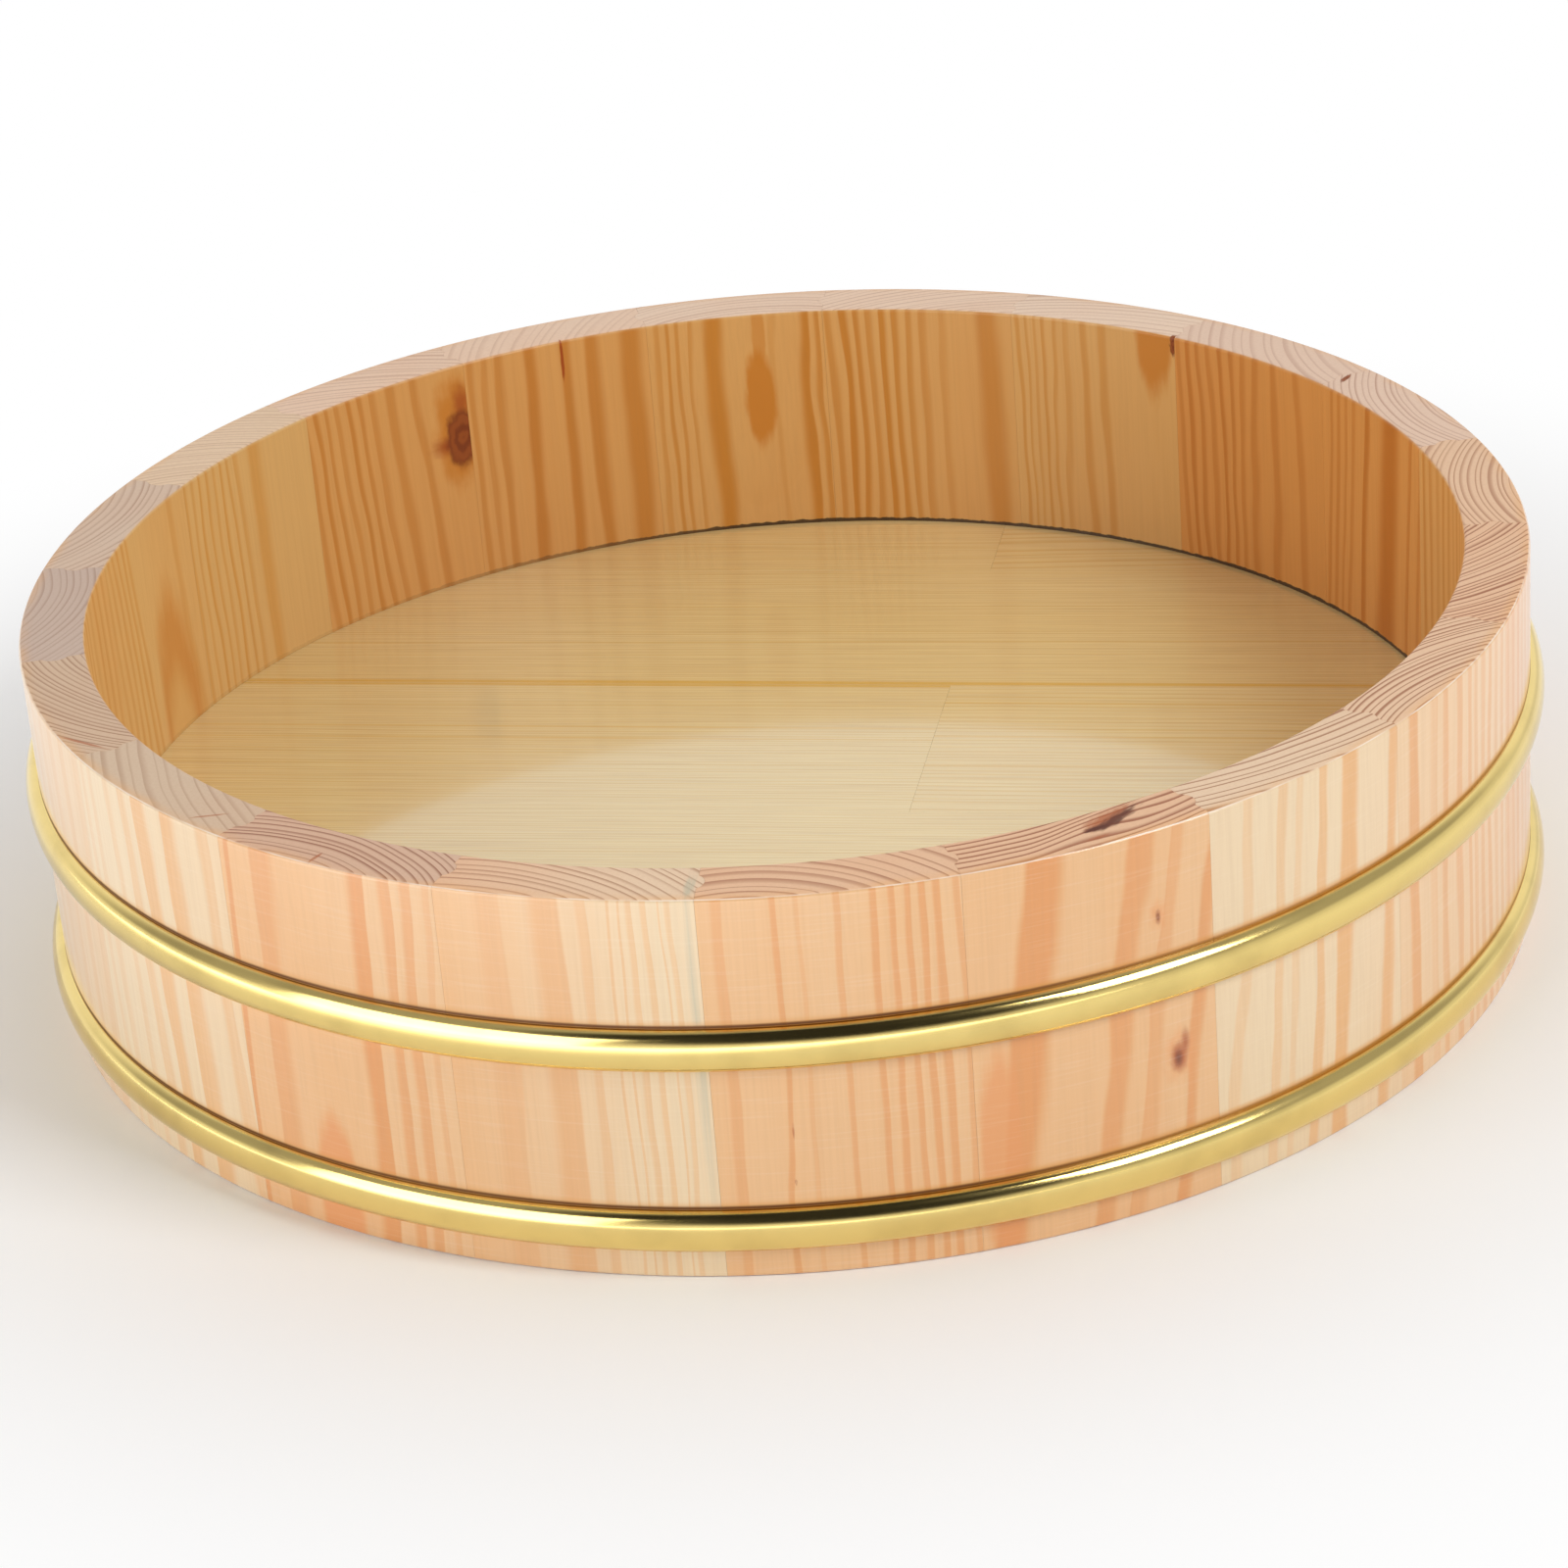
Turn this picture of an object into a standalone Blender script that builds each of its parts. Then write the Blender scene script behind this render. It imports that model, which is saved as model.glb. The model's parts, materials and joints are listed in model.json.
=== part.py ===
"""Sushi rice tub: coopered pine staves, a boarded floor seated in a croze, and two half-round brass hoops.

Metres, +Z up. The origin is on the ground at the centre of the tub, and -Y is its front. Angles in plan are
counted counter-clockwise, seen from above, from the front.
"""

import math

import bmesh
import bpy

MM = 0.001

# The wall, which leans out a little towards the rim so that hoops tighten as they are driven up from the base
HEIGHT = 85.0 * MM
RIM_RADIUS = 165.0 * MM
BASE_RADIUS = 164.0 * MM
RIM_INNER_RADIUS = 150.7 * MM
BASE_INNER_RADIUS = 149.9 * MM
EDGE_ROUND = 0.9 * MM
EDGE_STEPS = 2
WALL_STEPS = 120

# The floor and the croze, the groove round the inside of the wall that holds it
FLOOR_TOP = 29.0 * MM
FLOOR_THICKNESS = 14.0 * MM
CROZE_RADIUS = 154.6 * MM
FLOOR_EDGE_BEVEL = 1.5 * MM
FLOOR_TURN = math.radians(-11.5)
ROW_JOINTS = (119.8 * MM, 53.5 * MM, -12.8 * MM, -79.1 * MM)
END_JOINTS = {1: 29.5 * MM, 3: 29.0 * MM}
FINGER_LENGTH = 4.0 * MM
FINGER_TIP = 0.8 * MM
FINGER_COUNT = 3
FINGER_GAP = 0.5 * MM

# The staves, from the joint at the left of the front one: width as an angle, and share of heartwood in it
FIRST_JOINT = -7.0
STAVES = (
    (18.0, 0.7), (18.5, 0.8), (18.5, 0.1), (18.5, 0.5), (18.5, 0.6),
    (17.5, 0.5), (17.5, 0.9), (18.5, 0.8), (17.0, 0.3), (18.0, 0.6),
    (16.5, 0.7), (18.0, 0.8), (17.5, 0.6), (17.5, 0.1), (18.0, 0.4),
    (18.0, 0.4), (18.5, 0.3), (18.5, 0.2), (18.5, 0.7), (18.5, 0.4),
)
TONGUE_HEIGHT = 1.4 * MM
TONGUE_WIDTH = 5.6 * MM
TONGUE_STEPS = 6

# The hoops, rolled from strip into an open-backed half round
HOOP_HEIGHT = 9.3 * MM
HOOP_PROUD = 3.0 * MM
HOOP_SHEET = 0.8 * MM
UPPER_HOOP_CENTRE = 52.0 * MM
LOWER_HOOP_CENTRE = 11.1 * MM
HOOP_STEPS = 90
HOOP_OUTER_STEPS = 8
HOOP_INNER_STEPS = 5

# Room left between neighbours, and how far a blank stands past the shape that trims it
GAP = 0.3 * MM
MARGIN = 5.0 * MM
MERGE = 0.00001
SMOOTH_ANGLE = math.radians(30.0)

SAPWOOD = (0.83, 0.66, 0.42)
HEARTWOOD = (0.78, 0.47, 0.25)
FLOOR_PINE = (0.76, 0.60, 0.36)
BRASS = (0.80, 0.62, 0.24)


def clear_scene():
    """Remove whatever the scene holds."""
    for obj in list(bpy.data.objects):
        bpy.data.objects.remove(obj, do_unlink=True)


def new_collection(name):
    """Make a collection in the scene."""
    collection = bpy.data.collections.new(name)
    bpy.context.scene.collection.children.link(collection)
    return collection


def new_material(name, colour, roughness, metallic=0.0):
    """Make a plain Principled material."""
    material = bpy.data.materials.new(name)
    material.use_nodes = True
    shader = material.node_tree.nodes["Principled BSDF"]
    shader.inputs["Base Color"].default_value = (*colour, 1.0)
    shader.inputs["Roughness"].default_value = roughness
    shader.inputs["Metallic"].default_value = metallic
    return material


def pine(name, heart):
    """Satin-lacquered pine, from pale sapwood (heart 0) to orange heartwood (heart 1)."""
    colour = [sap + (core - sap) * heart for sap, core in zip(SAPWOOD, HEARTWOOD)]
    return new_material(name, colour, 0.45)


def outer_radius(z):
    """Outer radius of the wall at height z."""
    return BASE_RADIUS + (RIM_RADIUS - BASE_RADIUS) * z / HEIGHT


def inner_radius(z):
    """Inner radius of the wall at height z."""
    return BASE_INNER_RADIUS + (RIM_INNER_RADIUS - BASE_INNER_RADIUS) * z / HEIGHT


def plan(radius, angle, across=0.0):
    """Plan point at a radius and an angle, moved sideways by across, counter-clockwise."""
    x = radius * math.sin(angle) + across * math.cos(angle)
    y = -radius * math.cos(angle) + across * math.sin(angle)
    return x, y


def quarter_round(centre_r, centre_z, start):
    """Points of a rounded edge in the wall's section, clockwise from the angle start."""
    points = []
    for step in range(EDGE_STEPS + 1):
        angle = start - math.pi / 2.0 * step / EDGE_STEPS
        points.append((centre_r + EDGE_ROUND * math.cos(angle), centre_z + EDGE_ROUND * math.sin(angle)))
    return points


def turned(name, section, steps, collection):
    """Closed section of (radius, height) points, down its outer side first, turned round Z."""
    mesh = bpy.data.meshes.new(name)
    count = len(section)
    corners = [(radius, 0.0, height) for radius, height in section]
    mesh.from_pydata(corners, [(i, (i + 1) % count) for i in range(count)], [])
    obj = bpy.data.objects.new(name, mesh)
    collection.objects.link(obj)
    screw = obj.modifiers.new("Turn", "SCREW")
    screw.steps = steps
    screw.render_steps = steps
    screw.use_merge_vertices = True
    screw.merge_threshold = MERGE
    screw.use_smooth_shade = True
    return obj


def extruded(name, outline, depth, collection):
    """Flat outline in XY, filled and extruded evenly about its plane."""
    curve = bpy.data.curves.new(name, "CURVE")
    curve.dimensions = "2D"
    curve.fill_mode = "BOTH"
    curve.extrude = depth / 2.0
    spline = curve.splines.new("POLY")
    spline.points.add(len(outline) - 1)
    for point, (x, y) in zip(spline.points, outline):
        point.co = (x, y, 0.0, 1.0)
    spline.use_cyclic_u = True
    obj = bpy.data.objects.new(name, curve)
    collection.objects.link(obj)
    return obj


def as_mesh(obj, collection):
    """Replace an object by its evaluated shape as a plain mesh, welded and in the same place."""
    bpy.context.view_layer.update()
    evaluated = obj.evaluated_get(bpy.context.evaluated_depsgraph_get())
    mesh = bpy.data.meshes.new_from_object(evaluated)
    name, place = obj.name, obj.matrix_world.copy()
    bpy.data.objects.remove(obj, do_unlink=True)
    shape = bmesh.new()
    shape.from_mesh(mesh)
    bmesh.ops.remove_doubles(shape, verts=shape.verts, dist=MERGE)
    bmesh.ops.recalc_face_normals(shape, faces=shape.faces)
    shape.to_mesh(mesh)
    shape.free()
    mesh.name = name
    solid = bpy.data.objects.new(name, mesh)
    collection.objects.link(solid)
    solid.matrix_world = place
    return solid


def trimmed(blank, trimmer, collection):
    """What a blank shares with the shape that trims it, with its round faces shaded smooth."""
    cut = blank.modifiers.new("Trim", "BOOLEAN")
    cut.operation = "INTERSECT"
    cut.object = trimmer
    piece = as_mesh(blank, collection)
    piece.data.shade_smooth()
    piece.data.set_sharp_from_angle(angle=SMOOTH_ANGLE)
    return piece


def hide_cutter(obj):
    """Show a cutter as wires only."""
    obj.hide_render = True
    obj.display_type = "WIRE"


def wall_section():
    """Section of the wall: leaning faces, rounded edges and the croze."""
    croze_top = FLOOR_TOP + GAP
    croze_bottom = FLOOR_TOP - FLOOR_THICKNESS - GAP
    top, bottom = HEIGHT - EDGE_ROUND, EDGE_ROUND
    points = quarter_round(outer_radius(top) - EDGE_ROUND, top, math.pi / 2.0)
    points += quarter_round(outer_radius(bottom) - EDGE_ROUND, bottom, 0.0)
    points += quarter_round(inner_radius(bottom) + EDGE_ROUND, bottom, -math.pi / 2.0)
    points += [(inner_radius(croze_bottom), croze_bottom), (CROZE_RADIUS, croze_bottom)]
    points += [(CROZE_RADIUS, croze_top), (inner_radius(croze_top), croze_top)]
    points += quarter_round(inner_radius(top) + EDGE_ROUND, top, math.pi)
    return points


def stave_edge(angle, shift):
    """Plan line of a stave's edge, from inside out, with the round tongue at mid-thickness."""
    middle = (RIM_RADIUS + BASE_INNER_RADIUS) / 2.0
    half = TONGUE_WIDTH / 2.0
    arc_radius = (half ** 2 + TONGUE_HEIGHT ** 2) / (2.0 * TONGUE_HEIGHT)
    points = [plan(BASE_INNER_RADIUS - MARGIN, angle, shift)]
    for step in range(TONGUE_STEPS + 1):
        along = half * (2.0 * step / TONGUE_STEPS - 1.0)
        rise = math.sqrt(arc_radius ** 2 - along ** 2) - (arc_radius - TONGUE_HEIGHT)
        points.append(plan(middle + along, angle, shift + rise))
    points.append(plan(RIM_RADIUS + MARGIN, angle, shift))
    return points


def make_staves(parts, cutters):
    """Staves, each a wedge with a tongue on one edge and a groove on the other, trimmed to the wall."""
    wall = turned("wall_trimmer", wall_section(), WALL_STEPS, cutters)
    hide_cutter(wall)
    start = math.radians(FIRST_JOINT)
    for index, (width, heart) in enumerate(STAVES, 1):
        name = f"stave_{index:02d}"
        end = start + math.radians(width)
        outline = stave_edge(start, GAP / 2.0) + stave_edge(end, -GAP / 2.0)[::-1]
        blank = extruded(name, outline, HEIGHT + 2.0 * MARGIN, cutters)
        blank.location.z = HEIGHT / 2.0
        stave = trimmed(as_mesh(blank, cutters), wall, parts)
        stave.data.materials.append(pine(name, heart))
        start = end


def finger_end(place, shift):
    """Side line of an end joint, from below up: straight at both faces, with hidden fingers between."""
    back, front = place + shift, place + shift + FINGER_LENGTH
    bottom = FLOOR_TOP - FLOOR_THICKNESS
    pitch = FLOOR_THICKNESS / FINGER_COUNT
    points = [(back, bottom - MARGIN)]
    for finger in range(FINGER_COUNT):
        foot = bottom + finger * pitch
        points.append((back, foot + FINGER_TIP / 2.0))
        points.append((front, foot + (pitch - FINGER_TIP) / 2.0))
        points.append((front, foot + (pitch + FINGER_TIP) / 2.0))
        points.append((back, foot + pitch - FINGER_TIP / 2.0))
    points.append((back, FLOOR_TOP + MARGIN))
    return points


def plain_end(place):
    """Side line of a board's sawn end, from below up."""
    return [(place, FLOOR_TOP - FLOOR_THICKNESS - MARGIN), (place, FLOOR_TOP + MARGIN)]


def make_board(name, ends, sides, disc, parts, cutters):
    """One floor board: its side outline, extruded over its width, turned, and trimmed to the floor's disc."""
    left, right = ends
    low, high = sides
    middle = (low + high) / 2.0
    blank = extruded(name, left[::-1] + right, high - low, cutters)
    blank.rotation_euler = (math.pi / 2.0, 0.0, FLOOR_TURN)
    blank.location = (-middle * math.sin(FLOOR_TURN), middle * math.cos(FLOOR_TURN), 0.0)
    board = trimmed(as_mesh(blank, cutters), disc, parts)
    board.data.materials.append(new_material(name, FLOOR_PINE, 0.4))


def make_floor(parts, cutters):
    """Five rows of boards across the floor, two of them joined end to end."""
    radius = CROZE_RADIUS - GAP
    middle = FLOOR_TOP - FLOOR_THICKNESS / 2.0
    bpy.ops.mesh.primitive_cylinder_add(
        vertices=WALL_STEPS, radius=radius, depth=FLOOR_THICKNESS, location=(0.0, 0.0, middle)
    )
    disc = bpy.context.object
    disc.name = "floor_trimmer"
    for holder in list(disc.users_collection):
        holder.objects.unlink(disc)
    cutters.objects.link(disc)
    bevel = disc.modifiers.new("Edge", "BEVEL")
    bevel.width = FLOOR_EDGE_BEVEL
    bevel.segments = 1
    bevel.limit_method = "ANGLE"
    hide_cutter(disc)
    reach = radius + MARGIN
    borders = (reach, *ROW_JOINTS, -reach)
    for row, (high, low) in enumerate(zip(borders, borders[1:]), 1):
        sides = (low + GAP / 2.0, high - GAP / 2.0)
        far_left, far_right = plain_end(-reach), plain_end(reach)
        if row not in END_JOINTS:
            make_board(f"floor_board_{row}", (far_left, far_right), sides, disc, parts, cutters)
            continue
        joint = END_JOINTS[row]
        left_end, right_end = finger_end(joint, -FINGER_GAP / 2.0), finger_end(joint, FINGER_GAP / 2.0)
        make_board(f"floor_board_{row}_left", (far_left, left_end), sides, disc, parts, cutters)
        make_board(f"floor_board_{row}_right", (right_end, far_right), sides, disc, parts, cutters)


def hoop_section(centre):
    """Section of a hoop: half an oval outside, a smaller one inside, and two lips against the wood."""
    def oval(inset, steps):
        half, proud = HOOP_HEIGHT / 2.0 - inset, HOOP_PROUD - inset
        points = []
        for step in range(steps + 1):
            angle = math.pi / 2.0 - math.pi * step / steps
            z = centre + half * math.sin(angle)
            points.append((outer_radius(z) + GAP + proud * math.cos(angle), z))
        return points

    return oval(0.0, HOOP_OUTER_STEPS) + oval(HOOP_SHEET, HOOP_INNER_STEPS)[::-1]


def make_hoops(parts):
    """The two hoops round the wall."""
    for name, centre in (("upper_hoop", UPPER_HOOP_CENTRE), ("lower_hoop", LOWER_HOOP_CENTRE)):
        hoop = turned(name, hoop_section(centre), HOOP_STEPS, parts)
        hoop.data.materials.append(new_material(name, BRASS, 0.15, 1.0))


def main():
    """Build the tub."""
    clear_scene()
    parts = new_collection("sushi_rice_tub")
    cutters = new_collection("cutters")
    make_staves(parts, cutters)
    make_floor(parts, cutters)
    make_hoops(parts)


main()
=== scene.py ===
"""Looks of a sushi rice tub: pine staves with their own growth rings, a boarded floor and two brass hoops.

Metres, +Z up. Angles in plan are counted counter-clockwise, seen from above, from the front of the tub (-Y).
"""

import json
import logging
import math
from dataclasses import dataclass
from enum import Enum
from typing import Any, Optional, Sequence

import bmesh
import bpy
from mathutils import Matrix, Vector

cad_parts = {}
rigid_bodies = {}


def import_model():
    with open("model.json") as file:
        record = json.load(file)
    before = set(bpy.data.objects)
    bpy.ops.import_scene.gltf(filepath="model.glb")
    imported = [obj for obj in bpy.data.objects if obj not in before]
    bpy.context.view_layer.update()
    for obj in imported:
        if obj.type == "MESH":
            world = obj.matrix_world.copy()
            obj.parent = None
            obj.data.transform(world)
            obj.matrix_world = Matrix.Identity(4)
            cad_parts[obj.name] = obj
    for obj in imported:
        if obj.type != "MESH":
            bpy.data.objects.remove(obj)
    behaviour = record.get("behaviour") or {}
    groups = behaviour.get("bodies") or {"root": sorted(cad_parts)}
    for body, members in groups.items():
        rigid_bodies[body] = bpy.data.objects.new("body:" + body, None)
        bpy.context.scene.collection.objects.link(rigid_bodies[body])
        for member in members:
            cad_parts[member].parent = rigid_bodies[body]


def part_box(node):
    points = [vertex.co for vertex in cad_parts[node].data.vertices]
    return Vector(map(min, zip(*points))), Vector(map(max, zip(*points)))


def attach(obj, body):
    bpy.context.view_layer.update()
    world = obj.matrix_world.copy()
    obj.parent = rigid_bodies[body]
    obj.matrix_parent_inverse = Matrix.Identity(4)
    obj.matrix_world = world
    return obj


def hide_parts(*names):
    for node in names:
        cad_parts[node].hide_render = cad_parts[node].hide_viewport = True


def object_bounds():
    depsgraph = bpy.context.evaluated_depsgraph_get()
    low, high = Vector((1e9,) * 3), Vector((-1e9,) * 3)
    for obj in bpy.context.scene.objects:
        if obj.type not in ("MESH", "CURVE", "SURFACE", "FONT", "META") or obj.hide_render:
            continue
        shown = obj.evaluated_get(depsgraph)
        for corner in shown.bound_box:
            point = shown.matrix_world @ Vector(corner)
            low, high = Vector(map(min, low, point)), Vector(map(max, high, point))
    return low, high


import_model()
CAD_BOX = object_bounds()

LOG = logging.getLogger("rice_tub")

MM = 0.001
TINY = 1e-9
MIDDLE = 0.5
WHITE = (1.0, 1.0, 1.0)
SMOOTH_ANGLE = math.radians(28.0)

FLOAT = "NodeSocketFloat"
VECTOR = "NodeSocketVector"
NOISE = "ShaderNodeTexNoise"
YEARLY_NOISE = "ShaderNodeTexWhiteNoise"
GROWTH_RINGS = "growth_rings"
SPOT = "spot"
MIX_INPUTS = slice(6, 8)
MIX_RESULT = 2

Colour = tuple[float, float, float]
Scale = tuple[float, float, float]
Band = tuple[float, float, float]
Span = tuple[float, float]
Pair = tuple[Colour, Colour]
Node = bpy.types.Node
Socket = bpy.types.NodeSocket
Material = bpy.types.Material
Mesh = bpy.types.Mesh
Piece = bpy.types.Object


class Graph:
    """Short ways to add and join nodes in one tree."""

    def __init__(self, tree: bpy.types.NodeTree) -> None:
        """Keep the tree that nodes are added to."""
        self.tree = tree

    def feed(self, socket: Socket, value: Any) -> None:
        """Link a socket to another one, or set its value.

        Args:
            socket: The input to feed.
            value: The socket to link it to, or the value to set.
        """
        if isinstance(value, Socket):
            self.tree.links.new(value, socket)
        else:
            socket.default_value = value

    def node(self, kind: str, *values: Any, **settings: Any) -> Node:
        """Add a node.

        Args:
            kind: The node's type name.
            values: Sockets or values for its first inputs, in order.
            settings: Properties to set on it.

        Returns:
            The new node.
        """
        node = self.tree.nodes.new(kind)
        for name, value in settings.items():
            setattr(node, name, value)
        for socket, value in zip(node.inputs, values):
            self.feed(socket, value)
        return node

    def math(self, operation: str, *values: Any, clamp: bool = False) -> Socket:
        """Result of a Math node."""
        return self.node("ShaderNodeMath", *values, operation=operation, use_clamp=clamp).outputs[0]

    def vector(self, operation: str, *values: Any, output: str = "Vector") -> Socket:
        """Result of a Vector Math node."""
        return self.node("ShaderNodeVectorMath", *values, operation=operation).outputs[output]

    def times(self, first: Any, *others: Any) -> Any:
        """Product of numbers or sockets.

        Args:
            first: The first factor.
            others: The other factors.

        Returns:
            The product's socket.
        """
        for other in others:
            first = self.math("MULTIPLY", first, other)
        return first

    def rest(self, share: Any) -> Socket:
        """What a share leaves of 1."""
        return self.math("SUBTRACT", 1.0, share)

    def centred(self, noise: Any) -> Socket:
        """Noise that lies round 0."""
        return self.math("SUBTRACT", noise, MIDDLE)

    def split(self, place: Any) -> Sequence[Socket]:
        """The three parts of a vector."""
        return self.node("ShaderNodeSeparateXYZ", place).outputs

    def radius(self, place: Any) -> Socket:
        """Distance of a place from the Z axis."""
        return self.vector("LENGTH", self.vector("MULTIPLY", place, (1.0, 1.0, 0.0)), output="Value")

    def step(self, value: Any, low: Any, high: Any, start: Any = 0.0, end: Any = 1.0) -> Socket:
        """Ease from start to end while a value goes from low to high."""
        node = self.node("ShaderNodeMapRange", value, low, high, start, end, interpolation_type="SMOOTHSTEP")
        return node.outputs[0]

    def mix(self, share: Any, first: Any, second: Any, blend: str = "MIX") -> Socket:
        """Mix two colours.

        Args:
            share: Share of the second colour.
            first: First colour or socket.
            second: Second colour or socket.
            blend: How they are mixed.

        Returns:
            The mixed colour's socket.
        """
        node = self.node("ShaderNodeMix", share, data_type="RGBA", blend_type=blend)
        for socket, colour in zip(node.inputs[MIX_INPUTS], (first, second)):
            self.feed(socket, (*colour, 1.0) if isinstance(colour, tuple) else colour)
        return node.outputs[MIX_RESULT]

    def noise(self, place: Any, scale: Scale, detail: float = 2.0, shift: Any = (0.0, 0.0, 0.0)) -> Socket:
        """Noise over a place.

        Args:
            place: The place's socket.
            scale: How fine the noise is along each axis.
            detail: Octaves of finer noise.
            shift: How far the noise is moved.

        Returns:
            The noise's socket, from 0 to 1.
        """
        node = self.node(NOISE, self.vector("MULTIPLY_ADD", place, scale, shift), noise_dimensions="3D")
        node.inputs["Scale"].default_value = 1.0
        node.inputs["Detail"].default_value = detail
        return node.outputs[0]

    def line_noise(self, value: Any, kind: str = NOISE) -> Socket:
        """Noise along one number, smooth or with a new value for each whole number.

        Args:
            value: The number's socket.
            kind: Type of the texture node.

        Returns:
            The noise's socket, from 0 to 1.
        """
        node = self.node(kind, noise_dimensions="1D")
        if kind == NOISE:
            node.inputs["Scale"].default_value = 1.0
            node.inputs["Detail"].default_value = 1.0
        self.feed(node.inputs["W"], value)
        return node.outputs[0]

    def raise_surface(self, shader: Node, height: Socket, strength: float, depth: float) -> None:
        """Give a shader a fine relief.

        Args:
            shader: The Principled BSDF.
            height: The height's socket.
            strength: Strength of the relief.
            depth: Depth of the relief.
        """
        bump = self.node("ShaderNodeBump")
        bump.inputs["Strength"].default_value = strength
        bump.inputs["Distance"].default_value = depth
        self.feed(bump.inputs["Height"], height)
        self.feed(shader.inputs["Normal"], bump.outputs["Normal"])


def new_group(name: str, inputs: dict[str, str], outputs: Sequence[str]) -> tuple[Graph, Any, Any]:
    """Start a shader node group.

    Args:
        name: The group's name.
        inputs: Socket type of each named input.
        outputs: Names of its outputs, which are numbers.

    Returns:
        The group's graph, the sockets that it is given and the sockets of its results.
    """
    tree = bpy.data.node_groups.new(name, "ShaderNodeTree")
    for direction, sockets in (("INPUT", inputs), ("OUTPUT", dict.fromkeys(outputs, FLOAT))):
        for socket, kind in sockets.items():
            tree.interface.new_socket(socket, in_out=direction, socket_type=kind)
    graph = Graph(tree)
    return graph, graph.node("NodeGroupInput").outputs, graph.node("NodeGroupOutput").inputs


def new_material(name: str) -> tuple[Material, Graph, Node]:
    """Start a material.

    Args:
        name: The material's name.

    Returns:
        The material, its graph and its Principled BSDF.
    """
    material = bpy.data.materials.new(name)
    material.use_nodes = True
    return material, Graph(material.node_tree), material.node_tree.nodes["Principled BSDF"]


@dataclass(frozen=True)
class GrowthRings:
    """Node group with the rings of a pine log round the Z axis of the given wood coordinates.

    It gives the strength of latewood, a slow change of tone and the fine fibre. A scale is the fineness of
    a noise and a detail its octaves. The season holds the fineness, seed factor and strength of the slow
    change in ring width. Onset and strength of a year's latewood hold a least value and how much it changes.
    """

    seed_reach: float = 3.7
    sway_scale: Scale = (38.0, 38.0, 9.0)
    sway_detail: float = 1.5
    season: tuple[float, float, float] = (0.41, 17.3, 1.3)
    year_seeds: Span = (31.7, 57.1)
    onset: Span = (0.34, 0.38)
    late_full: float = 0.93
    late_end: Span = (0.95, 1.0)
    strength: Span = (0.55, 0.45)
    tone_scale: Scale = (45.0, 45.0, 5.0)
    fibre_scale: Scale = (1500.0, 1500.0, 28.0)
    fibre_detail: float = 3.0

    def build(self) -> None:
        """Make the group."""
        inputs = {"Wood": VECTOR, "Spacing": FLOAT, "Seed": FLOAT, "Waviness": FLOAT, "Bend": FLOAT}
        graph, given, result = new_group(GROWTH_RINGS, inputs, ("Latewood", "Tone", "Fibre"))
        wood, seed = given["Wood"], given["Seed"]
        moved = graph.times(seed, self.seed_reach)
        shift = graph.node("ShaderNodeCombineXYZ", moved, moved, moved).outputs[0]
        sway = graph.centred(graph.noise(wood, self.sway_scale, self.sway_detail, shift))
        reach = graph.math("MULTIPLY_ADD", sway, given["Waviness"], graph.radius(wood))
        turn = graph.math("DIVIDE", graph.math("ADD", reach, given["Bend"]), given["Spacing"])
        fineness, seed_factor, change = self.season
        season = graph.line_noise(graph.math("MULTIPLY_ADD", turn, fineness, graph.times(seed, seed_factor)))
        turn = graph.math("MULTIPLY_ADD", graph.centred(season), change, turn)
        year, part = graph.math("FLOOR", turn), graph.math("FRACT", turn)
        growth, depth = (
            graph.line_noise(graph.math("MULTIPLY_ADD", seed, factor, year), YEARLY_NOISE)
            for factor in self.year_seeds
        )
        least, change = self.onset
        rise = graph.step(part, graph.math("MULTIPLY_ADD", growth, change, least), self.late_full)
        drop = graph.step(part, *self.late_end, 1.0, 0.0)
        least, change = self.strength
        strength = graph.math("MULTIPLY_ADD", depth, change, least)
        graph.feed(result["Latewood"], graph.times(rise, drop, strength))
        graph.feed(result["Tone"], graph.noise(wood, self.tone_scale, shift=shift))
        graph.feed(result["Fibre"], graph.noise(wood, self.fibre_scale, self.fibre_detail, shift))


@dataclass(frozen=True)
class Spot:
    """Node group with a soft-edged, ragged spot, in scaled coordinates that are centred on it.

    It gives the spot's mask, a halo that fades between two distances, and the rings in the spot.
    """

    rough_scale: Scale = (2.3, 2.3, 2.3)
    rough_detail: float = 3.0
    halo: Span = (0.4, 2.6)
    ring_rate: float = 15.0

    def build(self) -> None:
        """Make the group."""
        inputs = {"Place": VECTOR, "Ragged": FLOAT, "Soft": FLOAT, "Strength": FLOAT}
        graph, given, result = new_group(SPOT, inputs, ("Mask", "Halo", "Rings"))
        place = given["Place"]
        reach = graph.vector("LENGTH", place, output="Value")
        rough = graph.centred(graph.noise(place, self.rough_scale, self.rough_detail))
        edge = graph.math("MULTIPLY_ADD", rough, given["Ragged"], reach)
        core = graph.rest(given["Soft"])
        graph.feed(result["Mask"], graph.step(edge, core, 1.0, given["Strength"], 0.0))
        graph.feed(result["Halo"], graph.step(reach, *self.halo, 1.0, 0.0))
        graph.feed(result["Rings"], graph.math("SINE", graph.times(edge, self.ring_rate)))


class MarkKind(Enum):
    """What a mark in the wood is, with its colour."""

    KNOT = (0.23, 0.055, 0.014)
    RESIN = (0.42, 0.10, 0.022)
    BARK = (0.11, 0.025, 0.011)
    GLUE = (0.52, 0.48, 0.35)
    BAND = (0.78, 0.32, 0.11)
    DEEP_BAND = (0.68, 0.32, 0.07)
    OCHRE = (0.74, 0.45, 0.09)
    PALE = (0.85, 0.65, 0.38)


KNOT, RESIN, BARK, GLUE, BAND, DEEP_BAND, OCHRE, PALE = MarkKind


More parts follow.
